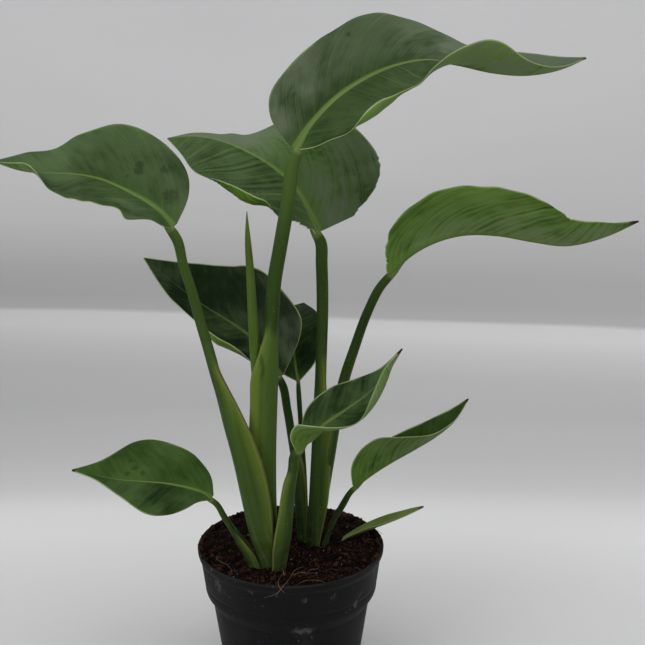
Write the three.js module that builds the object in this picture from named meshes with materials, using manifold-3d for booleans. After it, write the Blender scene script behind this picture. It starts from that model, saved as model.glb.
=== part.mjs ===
// A young bird of paradise in a black nursery pot: two fans of leaves that rise from potting soil.
// Millimetres, +Z up. The origin is the middle of the pot's underside and -Y is the front.
import * as THREE from "three";
import { mergeVertices } from "three/addons/utils/BufferGeometryUtils.js";
import Module from "manifold-3d";

const wasm = await Module();
wasm.setup();

const clearance = 0.35; // kept between pieces that touch
const bladeThickness = 0.9;
const sheathEdge = 0.8; // how thin a stalk's section gets at its edges

const colours = {
  pot: 0x1c1d1f,
  soil: 0x2b1a12,
  leaf: 0x2f5a26,
  youngLeaf: 0x5d8f36,
};

// The nursery pot: a thin tapered body under a tall straight collar with a rolled lip.
const pot = {
  height: 135,
  wall: 1.6,
  floor: 2.4,
  footRadius: 60,
  footRound: 2,
  stepRadius: 72, // the body's top, where the collar starts
  stepHeight: 85,
  collarFootRadius: 78.5,
  collarFootHeight: 98,
  collarTopRadius: 82,
  lipRadius: 85,
  lipHeight: 7,
  drainHoles: 6,
  drainRadius: 5,
  drainCircle: 48,
  aroundSides: 44,
};

const soil = {
  top: 130.5, // mean height of the surface
  crown: 2.5, // how much higher the middle lies
  bump: 1.9,
  bumpSize: 7.5,
  rings: 8,
  aroundSides: 36,
};

// Each leaf grows from the crown in the soil. Its stalk and its blade are lists of stations.
// heading: the way it leans, in degrees in plan from +X. Its left side is 90 degrees further round.
// stalk station: x, y, z, left half-width, right half-width, wrap, thickness.
//   wrap is how far each half turns towards the inner face by its edge, which makes the clasping sheath.
// blade station: x, y, z on the rib, then width, lift and curl of the left half and of the right half.
//   lift is the half's angle above the rib's own side line, and curl is what its margin adds.
const leaves = {
  leaf_top: {
    heading: 0,
    stalk: [
      [-13, -38, 112, 6, 6, 60, 6],
      [-13, -38, 137, 7, 7, 70, 6.5],
      [-13.5, -39, 165, 12, 12, 85, 6.5],
      [-14.5, -40, 200, 19, 19, 100, 7],
      [-14.5, -41, 240, 23, 23, 105, 7.5],
      [-13.5, -40, 285, 23, 23, 100, 8.5],
      [-13, -39, 314, 22, 22, 95, 9.5],
      [-13.5, -38, 334, 12, 12, 60, 11],
      [-12.5, -38, 355, 5.8, 5.8, 25, 12],
      [-10, -37, 390, 5.6, 5.6, 25, 12],
      [-5, -36, 416, 5.4, 5.4, 25, 11.6],
      [2, -35, 458, 5, 5, 25, 11],
      [6, -34, 490, 4.6, 4.6, 25, 10],
    ],
    blade: [
      [6, -34, 499, 4, 75, 0, 3, -50, 0],
      [16, -30, 514, 40, 72, 5, 28, -45, 20],
      [30, -26, 530, 46, 68, 5, 49, -46, 60],
      [42, -23, 541, 48, 67, 0, 58, -52, 118],
      [57, -20, 551, 49, 66, 0, 56, -58, 150],
      [86, -18, 564, 51, 58, 0, 47, -44, 80],
      [114, -20, 569, 42, 36, 0, 43, -28, 50],
      [137, -24, 566, 38, 24, 0, 40, 2, 60],
      [164, -30, 560, 34, 28, 0, 38.5, 35, 30],
      [193, -36, 558, 24, 42, 0, 27, 26, 20],
      [218, -42, 563, 13, 45, 0, 12, 15, 10],
      [236, -46, 571.5, 1, 45, 0, 1, 15, 0],
    ],
  },
  leaf_left: {
    heading: 180,
    stalk: [
      [-24, -40, 112, 10, 10, 90, 5],
      [-25, -41, 137, 14, 13, 95, 5.5],
      [-32, -44, 165, 24, 20, 95, 6],
      [-38, -45, 198, 30, 24, 95, 6.5],
      [-45, -46, 236, 29, 23, 90, 6.5],
      [-52, -47, 268, 22, 18, 80, 7],
      [-57, -47, 294, 13, 12, 60, 8],
      [-61.5, -47, 316, 5.5, 5.5, 30, 9.4],
      [-69.8, -46, 350, 4.4, 4.4, 25, 8.6],
      [-79.3, -44, 388, 4, 4, 25, 8],
      [-85, -43, 407, 4, 4, 25, 7.8],
      [-91, -41, 426, 3.8, 3.8, 25, 7.4],
    ],
    blade: [
      [-94.6, -40, 437.6, 3, -20, 0, 3, 60, 0],
      [-102, -38.5, 446, 17, -22, 10, 34, 64, 0],
      [-113, -36.5, 455.5, 37, -22, 10, 45, 67, 0],
      [-130, -34, 464.5, 40, -8, 10, 53, 68, 0],
      [-149, -32, 473, 51, -14, 10, 51, 66, 0],
      [-171, -32, 478, 46, -14, 15, 38.5, 55, 0],
      [-190, -34, 479.5, 33, -6, 25, 27, 40, 0],
      [-216, -38, 482.5, 17, 25, 30, 18, 42, 0],
      [-236, -42, 490, 1, 30, 0, 1, 40, 0],
    ],
  },
  leaf_middle: {
    heading: 180,
    stalk: [
      [18, 6, 112, 10, 10, 80, 6],
      [18, 5, 138, 14, 13, 95, 6.5],
      [20, 6, 175, 19, 17, 100, 7],
      [23, 8, 223, 18, 16, 95, 8],
      [25, 10, 262, 14, 13, 75, 8.5],
      [27, 11, 290, 8, 8, 40, 9.5],
      [28, 12, 316, 5, 5, 25, 10],
      [29, 14, 361, 4.8, 4.8, 25, 9.8],
      [27, 15, 397, 4.6, 4.6, 25, 9.6],
      [25.5, 16, 414, 4.4, 4.4, 25, 9],
    ],
    blade: [
      [25, 16, 421, 3, -30, 0, 30, 75, 0],
      [19.5, 18, 432, 13, -30, 0, 65, 78, 0],
      [14, 20, 444, 31, -30, 0, 74, 77, 0],
      [4, 23, 461, 52, -36, 30, 76, 72, 0],
      [-13, 26, 476, 60, -52, 90, 66, 58, 0],
      [-37, 28, 490, 58, -50, 75, 56, 14, 0],
      [-65, 30, 500, 44, -46, 20, 44, 0, 0],
      [-85, 32, 502, 27, -50, 0, 28, 0, 0],
      [-105, 34, 500, 1, -50, 0, 1, 0, 0],
    ],
  },
  leaf_right: {
    heading: 0,
    stalk: [
      [25, 6, 112, 5, 5, 40, 5],
      [26, 6, 139, 6, 6, 50, 6],
      [30, 6, 174, 7.5, 7.5, 60, 7.5],
      [35.5, 5, 215, 8, 8, 60, 9],
      [41.5, 4, 256, 8, 8, 50, 9.4],
      [48.5, 4, 292, 5.5, 5.5, 30, 9.6],
      [57, 3, 320, 4.6, 4.6, 25, 8.8],
      [69, 2, 355, 4.2, 4.2, 25, 8.2],
      [79, 1, 376, 4, 4, 25, 7.8],
    ],
    blade: [
      [86, 0, 389, 3, 30, 0, 3, 70, 0],
      [98, -2, 402, 20, 35, 0, 24, 66, 0],
      [108, -4, 410, 34, 38, 0, 36, 62, 0],
      [124, -6, 418.5, 43, 38, 0, 47, 60, 0],
      [147, -9, 425, 45, 38, 0, 51, 60, 0],
      [175, -12, 425, 43, 38, 0, 49, 60, 0],
      [206, -14, 419.5, 37, 40, 0, 42, 61, 0],
      [233, -16, 416, 29, 50, 0, 31, 58, 0],
      [268, -18, 424.5, 16, 60, 0, 13, 50, 0],
      [293, -20, 437, 1, 60, 0, 1, 50, 0],
    ],
  },
  leaf_back: {
    heading: 180,
    stalk: [
      [8, 14, 112, 8, 7, 60, 6],
      [8, 13, 141, 10, 9, 70, 6],
      [6, 13, 172, 13, 11, 80, 6],
      [4, 15, 208, 11, 10, 70, 7],
      [1, 17, 232, 5, 5, 40, 7.6],
      [-3, 20, 258, 3.9, 3.9, 25, 7.6],
      [-8, 23, 282, 3.8, 3.8, 25, 7.2],
    ],
    blade: [
      [-8, 23, 288, 3, -20, 0, 3, 70, 0],
      [-21, 25.5, 306, 22, -28, 20, 40, 74, 0],
      [-38, 30, 325, 36, -43, 110, 50, 76, 0],
      [-56, 34, 337, 40, -40, 110, 54, 76, 0],
      [-74, 38, 347, 31, -30, 60, 46, 74, 0],
      [-101, 44, 366, 19, -30, 20, 28, 62, 0],
      [-132, 50, 391, 1, -30, 0, 1, 50, 0],
    ],
  },
  leaf_far: {
    heading: 90,
    stalk: [
      [11, 27, 112, 4, 4, 40, 5],
      [11, 27, 150, 5, 5, 50, 5],
      [11, 29, 186, 3.6, 3.6, 30, 5],
      [9, 32, 239, 2.2, 2.2, 20, 4.2],
      [7, 36, 273, 2, 2, 20, 3.8],
    ],
    blade: [
      [7, 37, 279, 2, 5, 0, 2, 5, 0],
      [5, 42, 288, 15, 5, 0, 15, 5, 0],
      [3, 50, 302, 22, 5, 0, 24, 5, 0],
      [3, 62, 320, 22, 5, 0, 26, 5, 0],
      [6, 78, 332, 16, 5, 0, 20, 5, 0],
      [11, 98, 337, 1, 5, 0, 1, 5, 0],
    ],
  },
  leaf_front: {
    heading: 0,
    stalk: [
      [-10, -41, 112, 9, 9, 60, 6],
      [-7, -44, 138, 12, 12, 70, 6],
      [-3.5, -50, 165, 13, 14, 75, 6.5],
      [-1, -55, 190, 11, 12, 70, 7],
      [1.5, -59, 215, 7, 8, 50, 7.4],
      [4, -61, 232, 4, 4, 30, 7.2],
      [6, -63, 243, 3.6, 3.6, 25, 6.6],
    ],
    blade: [
      [7, -63, 248, 3, 60, 0, 3, 60, 0],
      [12, -64, 255, 8, 60, 0, 17, 50, 40],
      [20, -64, 262.5, 13, 60, 0, 27, 20, 100],
      [32, -62, 273.5, 19, 62, 0, 28, -10, 95],
      [48, -58, 284, 21, 64, 0, 26, -28, 70],
      [65, -54, 295.5, 17, 60, 0, 23, -25, 95],
      [81, -50, 311, 10, 50, 0, 15, -5, 90],
      [96, -46, 334, 1, 50, 0, 1, 30, 0],
    ],
  },
  leaf_low_left: {
    heading: 180,
    stalk: [
      [-31, -36, 112, 5, 5, 60, 4.5],
      [-34, -37, 134, 8, 8, 80, 4.5],
      [-42, -39, 152, 8, 7, 70, 5],
      [-49, -40, 167, 4, 4, 40, 5.6],
      [-57, -41, 180, 3.2, 3.2, 25, 5.6],
      [-64, -42, 193, 3, 3, 25, 5],
    ],
    blade: [
      [-67, -42, 198, 3, -30, 0, 3, 60, 0],
      [-76, -42, 203.5, 12, -30, 0, 20, 64, 0],
      [-88, -42, 207.5, 22, -38, 0, 29, 68, 0],
      [-104, -42, 211, 28, -42, 0, 34, 71, 0],
      [-124, -43, 213.5, 27, -44, 0, 36, 73, 0],
      [-146, -45, 216, 15, -42, 0, 25, 65, 0],
      [-167, -47, 221, 6, -30, 0, 9, 55, 0],
      [-186, -48, 226, 0.8, -30, 0, 0.8, 50, 0],
    ],
  },
  leaf_low_right: {
    heading: 0,
    stalk: [
      [31, 6, 112, 5, 5, 50, 5],
      [33, 5, 137, 6.5, 6.5, 60, 5],
      [39, 3, 155, 4, 4, 40, 5],
      [48, 0, 174, 2.6, 2.6, 25, 4.6],
      [55, -2, 187, 2.4, 2.4, 25, 4.2],
    ],
    blade: [
      [57.5, -2.2, 192.2, 2.6, 40, 0, 2.6, 70, 0],
      [64, -3, 198, 9, 45, 0, 18, 72, 0],
      [75, -4.5, 207, 15, 48, 0, 28, 72, 0],
      [91, -6, 218, 21, 52, 0, 32, 68, 0],
      [112, -8, 231, 22, 60, 0, 26, 50, 0],
      [130, -9.5, 243, 19, 62, 0, 16, 32, 0],
      [145, -10.5, 257, 12, 60, 0, 8, 20, 0],
      [157, -11, 278, 0.8, 60, 0, 0.8, 0, 0],
    ],
  },
};

// The first leaf, a narrow scale with no stalk, and the next leaf, still rolled up in a spear.
const sprouts = {
  first_leaf: {
    heading: 0,
    stalk: [
      [42, 12, 118, 2.4, 2.4, 60, 2.4],
      [47, 11, 133, 3.4, 3.4, 60, 2.2],
      [63, 9, 141.5, 7, 7, 50, 2],
      [82, 6, 150.5, 9.5, 9.5, 40, 1.8],
      [102, 3, 160.5, 7, 7, 30, 1.6],
      [121, 2, 170, 0.8, 0.8, 20, 1.2],
    ],
  },
  spear: {
    heading: 0,
    stalk: [
      [-19.5, -39.5, 112, 2.8, 2.8, 40, 3.6],
      [-20, -39.5, 137, 3, 3, 40, 4.4],
      [-21, -39.5, 165, 3.4, 3.4, 40, 5.4],
      [-22.5, -40, 205, 3.8, 3.8, 40, 6.6],
      [-23.5, -40, 245, 4, 4, 40, 7.6],
      [-24.5, -40, 285, 4, 4, 40, 8],
      [-27, -40, 318, 3.8, 3.8, 40, 8],
      [-28.5, -40, 349, 3.6, 3.6, 40, 7.6],
      [-30, -40, 392, 3, 3, 40, 6.2],
      [-32, -40, 425, 1.8, 1.8, 40, 3.6],
      [-32.5, -40, 447, 0.6, 0.6, 20, 1.2],
    ],
  },
};

// A smooth curve through stations. Every column is read at a share of the length of the line.
class Track {
  constructor(stations) {
    this.stations = stations;
    this.knots = [0];
    for (let i = 1; i < stations.length; i++) {
      const [a, b] = [stations[i - 1], stations[i]];
      this.knots.push(this.knots[i - 1] + Math.hypot(b[0] - a[0], b[1] - a[1], b[2] - a[2]));
    }
    this.length = this.knots[stations.length - 1];
  }

  slope(column, i) {
    const last = this.knots.length - 1;
    const rise = (j) =>
      (this.stations[j + 1][column] - this.stations[j][column]) / (this.knots[j + 1] - this.knots[j]);
    if (i === 0) return rise(0);
    if (i === last) return rise(last - 1);
    const before = this.knots[i] - this.knots[i - 1];
    const after = this.knots[i + 1] - this.knots[i];
    return (after * rise(i - 1) + before * rise(i)) / (before + after);
  }

  // Every station's share, and more between two stations that lie further apart than the step.
  shares(step) {
    const found = [0];
    for (let i = 1; i < this.knots.length; i++) {
      const [from, to] = [this.knots[i - 1], this.knots[i]];
      const parts = Math.ceil((to - from) / step);
      for (let k = 1; k <= parts; k++) found.push((from + ((to - from) * k) / parts) / this.length);
    }
    return found;
  }

  at(share) {
    const where = Math.min(Math.max(share, 0), 1) * this.length;
    let i = 0;
    while (i < this.knots.length - 2 && where > this.knots[i + 1]) i++;
    const span = this.knots[i + 1] - this.knots[i];
    const t = (where - this.knots[i]) / span;
    const t2 = t * t;
    const t3 = t2 * t;
    return this.stations[i].map(
      (value, column) =>
        value * (2 * t3 - 3 * t2 + 1) +
        this.stations[i + 1][column] * (3 * t2 - 2 * t3) +
        span * (this.slope(column, i) * (t3 - 2 * t2 + t) + this.slope(column, i + 1) * (t3 - t2)),
    );
  }
}

// The frame at a share of a track: its tangent, the side line to its left, and the inner or upper normal.
function frameAt(track, share, heading) {
  const step = 1e-3;
  const ahead = track.at(share + step);
  const behind = track.at(share - step);
  const tangent = new THREE.Vector3(ahead[0] - behind[0], ahead[1] - behind[1], ahead[2] - behind[2]).normalize();
  const turn = THREE.MathUtils.degToRad(heading);
  const left = new THREE.Vector3(-Math.sin(turn), Math.cos(turn), 0);
  left.addScaledVector(tangent, -left.dot(tangent)).normalize();
  return { tangent, left, normal: new THREE.Vector3().crossVectors(tangent, left) };
}

// Points from the rib to the margin of one half of a section, as distances [out, up].
const foldSteps = 50;
function foldedHalf(width, lift, curl, bend, cuts) {
  const points = [[0, 0]];
  let out = 0;
  let up = 0;
  for (let k = 0; k < foldSteps; k++) {
    const angle = THREE.MathUtils.degToRad(lift + curl * ((k + 0.5) / foldSteps) ** bend);
    out += (width / foldSteps) * Math.cos(angle);
    up += (width / foldSteps) * Math.sin(angle);
    if (cuts.includes((k + 1) / foldSteps)) points.push([out, up]);
  }
  return points;
}

// A closed skin over a grid of points. Each point is offset by its own distances above and below.
function skin(grid, above, below) {
  const rows = grid.length;
  const columns = grid[0].length;
  const normals = grid.map((row, i) =>
    row.map((_, j) => {
      const along = new THREE.Vector3().subVectors(
        grid[Math.min(i + 1, rows - 1)][j],
        grid[Math.max(i - 1, 0)][j],
      );
      const across = new THREE.Vector3().subVectors(
        row[Math.min(j + 1, columns - 1)],
        row[Math.max(j - 1, 0)],
      );
      return along.cross(across).normalize();
    }),
  );
  const positions = [];
  for (const [side, offsets] of [[1, above], [-1, below]])
    grid.forEach((row, i) =>
      row.forEach((point, j) => {
        const p = point.clone().addScaledVector(normals[i][j], side * offsets[i][j]);
        positions.push(p.x, p.y, p.z);
      }),
    );
  const under = rows * columns;
  const id = (i, j) => i * columns + j;
  const faces = [];
  const quad = (a, b, c, d) => faces.push(a, b, c, a, c, d);
  for (let i = 0; i < rows - 1; i++)
    for (let j = 0; j < columns - 1; j++) {
      const [a, b, c, d] = [id(i, j), id(i + 1, j), id(i + 1, j + 1), id(i, j + 1)];
      faces.push(a, b, c, a, c, d);
      faces.push(under + a, under + c, under + b, under + a, under + d, under + c);
    }
  for (let i = 0; i < rows - 1; i++) {
    quad(id(i, 0), under + id(i, 0), under + id(i + 1, 0), id(i + 1, 0));
    const edge = columns - 1;
    quad(id(i, edge), id(i + 1, edge), under + id(i + 1, edge), under + id(i, edge));
  }
  for (let j = 0; j < columns - 1; j++) {
    quad(id(0, j), id(0, j + 1), under + id(0, j + 1), under + id(0, j));
    const end = rows - 1;
    quad(id(end, j), under + id(end, j), under + id(end, j + 1), id(end, j + 1));
  }
  const geometry = new THREE.BufferGeometry();
  geometry.setAttribute("position", new THREE.Float32BufferAttribute(positions, 3));
  geometry.setIndex(faces);
  return geometry;
}

// Where a section's points stand in space, from its right margin over the rib to its left margin.
function sectionPoints(origin, frame, leftHalf, rightHalf) {
  const place = ([out, up], side) =>
    new THREE.Vector3(...origin).addScaledVector(frame.left, side * out).addScaledVector(frame.normal, up);
  const right = rightHalf.map((point) => place(point, -1)).reverse();
  return [...right, ...leftHalf.slice(1).map((point) => place(point, 1))];
}

// The stalk: an oval section that widens below into the curved sheath. Its neck runs on under the blade.
const stalkCuts = [0.36, 0.7, 1]; // shares of a half's width at which a section has corners
const stalkBend = 0.6;
const stalkStep = 42; // the largest distance between two sections
function withNeck({ stalk, blade, heading }) {
  if (!blade) return stalk;
  const track = new Track(blade);
  const startRadius = stalk[stalk.length - 1][3];
  const neck = [0.03, 0.11].map((share, i) => {
    const radius = startRadius * (0.85 - 0.3 * i);
    const [x, y, z] = track.at(share);
    const { normal } = frameAt(track, share, heading);
    const at = new THREE.Vector3(x, y, z).addScaledVector(normal, -0.8 * radius);
    return [at.x, at.y, at.z, radius, radius, 0, 2 * radius];
  });
  return [...stalk, ...neck];
}
function sweptSolid(stations, heading, grow = 0) {
  const track = new Track(stations);
  const grid = [];
  const halfThickness = [];
  const reaches = [...[...stalkCuts].reverse(), 0, ...stalkCuts];
  for (const share of track.shares(stalkStep)) {
    const [x, y, z, left, right, wrap, thick] = track.at(share);
    const frame = frameAt(track, share, heading);
    grid.push(
      sectionPoints(
        [x, y, z - (share === 0 ? grow : 0)],
        frame,
        foldedHalf(left + grow, 0, wrap, stalkBend, stalkCuts),
        foldedHalf(right + grow, 0, wrap, stalkBend, stalkCuts),
      ),
    );
    halfThickness.push(
      reaches.map((reach) => Math.max(sheathEdge, thick * Math.sqrt(1 - 0.96 * reach ** 2)) / 2 + grow),
    );
  }
  return solid(skin(grid, halfThickness, halfThickness));
}

// The blade: two halves that lift and curl along the rib and are drawn out to a tip. The rib is a ridge
// under the middle, as deep at the base as the stalk is thick, that fades towards the tip.
const bladeCuts = [0.08, 0.4, 0.74, 1];
const bladeStep = 15;
const bladeBend = 3; // the higher, the closer to the margin lies the curl
function bladeSolid(stations, heading, ribDepth) {
  const track = new Track(stations);
  const rows = Math.round(track.length / bladeStep) + 2;
  const grid = [];
  const above = [];
  const below = [];
  for (let i = 0; i <= rows; i++) {
    const share = 0.6 * (i / rows) + 0.2 * (1 - Math.cos((Math.PI * i) / rows));
    const [x, y, z, left, leftLift, leftCurl, right, rightLift, rightCurl] = track.at(share);
    const section = sectionPoints(
      [x, y, z],
      frameAt(track, share, heading),
      foldedHalf(left, leftLift, leftCurl, bladeBend, bladeCuts),
      foldedHalf(right, rightLift, rightCurl, bladeBend, bladeCuts),
    );
    grid.push(section);
    above.push(section.map(() => bladeThickness / 2));
    const ridge = ribDepth * (1 - share) ** 1.5;
    below.push(section.map((_, j) => bladeThickness / 2 + (j === bladeCuts.length ? ridge : 0)));
  }
  return solid(skin(grid, above, below));
}

function solid(geometry) {
  const bare = geometry.clone();
  bare.deleteAttribute("normal");
  bare.deleteAttribute("uv");
  const merged = mergeVertices(bare, 1e-4);
  return new wasm.Manifold(
    new wasm.Mesh({
      numProp: 3,
      vertProperties: merged.attributes.position.array,
      triVerts: new Uint32Array(merged.index.array),
    }),
  );
}

function largestBody(manifold) {
  return manifold.decompose().reduce((a, b) => (a.volume() > b.volume() ? a : b));
}

const plant = new THREE.Group();
function addPiece(name, manifold, colour, roughness) {
  const mesh = largestBody(manifold).getMesh();
  const geometry = new THREE.BufferGeometry();
  geometry.setAttribute("position", new THREE.BufferAttribute(new Float32Array(mesh.vertProperties), 3));
  geometry.setIndex(new THREE.BufferAttribute(new Uint32Array(mesh.triVerts), 1));
  geometry.computeVertexNormals();
  const material = new THREE.MeshStandardMaterial({ color: colour, roughness, metalness: 0 });
  const piece = new THREE.Mesh(geometry, material);
  piece.name = name;
  plant.add(piece);
}

// Turns an outline of [radius, height] pairs about the upright axis.
function turned(outline, sides) {
  const points = outline.map(([r, z]) => new THREE.Vector2(r, z));
  const geometry = new THREE.LatheGeometry(points, sides);
  geometry.rotateX(Math.PI / 2);
  return solid(geometry);
}

// The pot's outer outline from the foot up to the lip, without the axis points.
const potOutside = [
  [pot.footRadius - pot.footRound, 0],
  [pot.footRadius, pot.footRound],
  [pot.stepRadius, pot.stepHeight],
  [pot.stepRadius + 1.5, pot.stepHeight + 1.5],
  [pot.collarFootRadius, pot.collarFootHeight],
  [pot.collarTopRadius, pot.height - pot.lipHeight],
  [pot.lipRadius, pot.height - pot.lipHeight + 1.5],
  [pot.lipRadius, pot.height - 1.5],
  [pot.lipRadius - 1, pot.height],
];
const potInside = [
  [pot.lipRadius - 3, pot.height],
  [pot.collarTopRadius - pot.wall, pot.height - pot.lipHeight],
  [pot.collarFootRadius - pot.wall, pot.collarFootHeight],
  [pot.stepRadius - pot.wall, pot.stepHeight],
  [pot.footRadius - pot.wall, pot.floor],
];

function makePot() {
  let body = turned([[0, 0], ...potOutside, ...potInside, [0, pot.floor]], pot.aroundSides);
  for (let k = 0; k < pot.drainHoles; k++) {
    const drill = new THREE.CylinderGeometry(pot.drainRadius, pot.drainRadius, 4 * pot.floor, 12);
    drill.rotateX(Math.PI / 2);
    const turn = ((k + 0.5) * 2 * Math.PI) / pot.drainHoles;
    drill.translate(pot.drainCircle * Math.cos(turn), pot.drainCircle * Math.sin(turn), pot.floor / 2);
    body = body.subtract(solid(drill));
  }
  addPiece("pot", body, colours.pot, 0.45);
}

// A repeatable random draw between 0 and 1 for a whole number.
function draw(seed) {
  const x = Math.sin(seed * 127.1 + 311.7) * 43758.5453;
  return x - Math.floor(x);
}

// The height of the soil: smooth bumps from draws on a square lattice, over a low crown.
function soilHeight(x, y) {
  const [gx, gy] = [x / soil.bumpSize + 50, y / soil.bumpSize + 50];
  const [ix, iy] = [Math.floor(gx), Math.floor(gy)];
  const ease = (t) => t * t * (3 - 2 * t);
  const [fx, fy] = [ease(gx - ix), ease(gy - iy)];
  const corner = (i, j) => draw((ix + i) * 57 + (iy + j) * 131) - 0.5;
  const low = corner(0, 0) * (1 - fx) + corner(1, 0) * fx;
  const high = corner(0, 1) * (1 - fx) + corner(1, 1) * fx;
  const outer = Math.hypot(x, y) / pot.collarTopRadius;
  return soil.top + soil.crown * (1 - outer ** 2) + 2 * soil.bump * (low * (1 - fy) + high * fy);
}

function makeSoil(stems) {
  const radiusAt = (z) => {
    const wall = [...potInside].reverse();
    let k = 0;
    while (k < wall.length - 2 && z > wall[k + 1][1]) k++;
    const [[r0, z0], [r1, z1]] = [wall[k], wall[k + 1]];
    return r0 + ((r1 - r0) * (z - z0)) / (z1 - z0) - clearance;
  };
  const edge = radiusAt(soil.top - 2);
  const floorLevel = pot.floor + clearance;
  const underside = [
    [radiusAt(pot.collarFootHeight), pot.collarFootHeight],
    [radiusAt(pot.stepHeight), pot.stepHeight],
    [radiusAt(floorLevel), floorLevel],
  ];
  // One ring after another: from the middle of the top out to the edge, then down the side.
  const positions = [0, 0, soilHeight(0, 0)];
  for (let i = 1; i <= soil.rings; i++)
    for (let k = 0; k < soil.aroundSides; k++) {
      const turn = (2 * Math.PI * k) / soil.aroundSides;
      const [x, y] = [(Math.cos(turn) * edge * i) / soil.rings, (Math.sin(turn) * edge * i) / soil.rings];
      positions.push(x, y, Math.min(soilHeight(x, y), i === soil.rings ? soil.top - 2 : Infinity));
    }
  for (const [r, z] of underside)
    for (let k = 0; k < soil.aroundSides; k++) {
      const turn = (2 * Math.PI * k) / soil.aroundSides;
      positions.push(Math.cos(turn) * r, Math.sin(turn) * r, z);
    }
  const ringCount = soil.rings + underside.length;
  const at = (ring, k) => 1 + ring * soil.aroundSides + (k % soil.aroundSides);
  positions.push(0, 0, floorLevel);
  const bottom = 1 + ringCount * soil.aroundSides;
  const faces = [];
  for (let k = 0; k < soil.aroundSides; k++) {
    faces.push(0, at(0, k), at(0, k + 1));
    for (let ring = 0; ring < ringCount - 1; ring++) {
      faces.push(at(ring, k), at(ring + 1, k), at(ring + 1, k + 1));
      faces.push(at(ring, k), at(ring + 1, k + 1), at(ring, k + 1));
    }
    faces.push(bottom, at(ringCount - 1, k + 1), at(ringCount - 1, k));
  }
  const geometry = new THREE.BufferGeometry();
  geometry.setAttribute("position", new THREE.Float32BufferAttribute(positions, 3));
  geometry.setIndex(faces);
  let body = solid(geometry);
  for (const stem of stems) body = body.subtract(stem);
  addPiece("soil", body, colours.soil, 0.95);
}

makePot();

// From the innermost piece of each fan outwards, so that each sheath is cut clear of what it clasps.
const fans = [
  ["spear", "leaf_top", "leaf_left", "leaf_front", "leaf_low_left"],
  ["leaf_right", "leaf_middle", "leaf_back", "leaf_low_right", "leaf_far", "first_leaf"],
];
const stems = [];
for (const fan of fans) {
  const inner = [];
  for (const name of fan) {
    const leaf = leaves[name] ?? sprouts[name];
    let body = sweptSolid(withNeck(leaf), leaf.heading);
    const ribDepth = leaf.stalk[leaf.stalk.length - 1][3];
    if (leaf.blade) body = body.add(bladeSolid(leaf.blade, leaf.heading, ribDepth));
    for (const other of inner) body = body.subtract(other);
    const fatter = sweptSolid(leaf.stalk, leaf.heading, clearance);
    inner.push(fatter);
    stems.push(fatter);
    addPiece(name, body, leaf.blade ? colours.leaf : colours.youngLeaf, 0.5);
  }
}
makeSoil(stems);

export default plant;
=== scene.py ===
import math

import bmesh
import bpy
import numpy as np
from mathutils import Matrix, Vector, noise


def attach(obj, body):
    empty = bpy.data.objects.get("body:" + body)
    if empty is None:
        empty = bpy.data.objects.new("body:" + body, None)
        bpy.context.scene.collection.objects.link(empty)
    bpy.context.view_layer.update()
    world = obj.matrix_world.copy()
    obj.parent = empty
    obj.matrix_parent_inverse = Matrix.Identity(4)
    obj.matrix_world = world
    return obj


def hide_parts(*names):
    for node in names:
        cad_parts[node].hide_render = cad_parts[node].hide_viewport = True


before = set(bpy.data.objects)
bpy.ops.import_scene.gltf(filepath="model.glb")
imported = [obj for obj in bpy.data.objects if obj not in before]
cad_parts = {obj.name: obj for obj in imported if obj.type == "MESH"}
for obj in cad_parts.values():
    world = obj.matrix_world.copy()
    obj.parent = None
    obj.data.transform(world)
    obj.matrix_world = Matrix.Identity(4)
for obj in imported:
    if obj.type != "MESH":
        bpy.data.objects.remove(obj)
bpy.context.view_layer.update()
mm = 0.001
fullTurn = 2 * math.pi
print("frame loaded:", len(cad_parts), "nodes")


# A socket in an expression. Operators on it add Math nodes to its tree.
class Flow:
    def __init__(self, nodes, socket):
        self.nodes = nodes
        self.socket = socket

    def do(self, operation, *others):
        return self.nodes.math(operation, self, *others)

    def __add__(self, other):
        return self.do("ADD", other)

    __radd__ = __add__

    def __sub__(self, other):
        return self.do("SUBTRACT", other)

    def __rsub__(self, other):
        return self.nodes.math("SUBTRACT", other, self)

    def __mul__(self, other):
        return self.do("MULTIPLY", other)

    __rmul__ = __mul__

    def __truediv__(self, other):
        return self.do("DIVIDE", other)

    def __pow__(self, other):
        return self.do("POWER", other)

    def clamped(self):
        return self.do("MAXIMUM", 0).do("MINIMUM", 1)

    # 0 below low, 1 above high and smooth between, or the other way round if low is above high.
    def rise(self, low, high):
        if low > high:
            return 1 - self.rise(high, low)
        sockets = {"Value": self, "From Min": low, "From Max": high}
        return self.nodes.node("ShaderNodeMapRange", sockets, interpolation_type="SMOOTHSTEP")

    # A noise turned into a change both ways.
    def swing(self, strength):
        return (self - 0.5) * strength


# What the material trees and the geometry trees share.
class Nodes:
    def __init__(self, tree):
        self.tree = tree

    def feed(self, socket, value):
        if isinstance(value, Flow):
            self.tree.links.new(value.socket, socket)
        elif socket.type == "RGBA":
            socket.default_value = (*value, 1)
        else:
            socket.default_value = value

    # Any node: its sockets by name or number, the output to go on from, and its settings.
    def node(self, kind, sockets=None, output=0, **settings):
        made = self.tree.nodes.new(kind)
        for key, value in settings.items():
            setattr(made, key, value)
        for key, value in (sockets or {}).items():
            self.feed(made.inputs[key], value)
        return Flow(self, made.outputs[output])

    def math(self, operation, *values):
        return self.node("ShaderNodeMath", dict(enumerate(values)), operation=operation)

    def join(self, x, y, z):
        return self.node("ShaderNodeCombineXYZ", {0: x, 1: y, 2: z})

    def part(self, vector, axis):
        return self.node("ShaderNodeSeparateXYZ", {0: vector}, axis)

    def stretch(self, vector, scale):
        return self.node("ShaderNodeVectorMath", {0: vector, 3: scale}, operation="SCALE")


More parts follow.
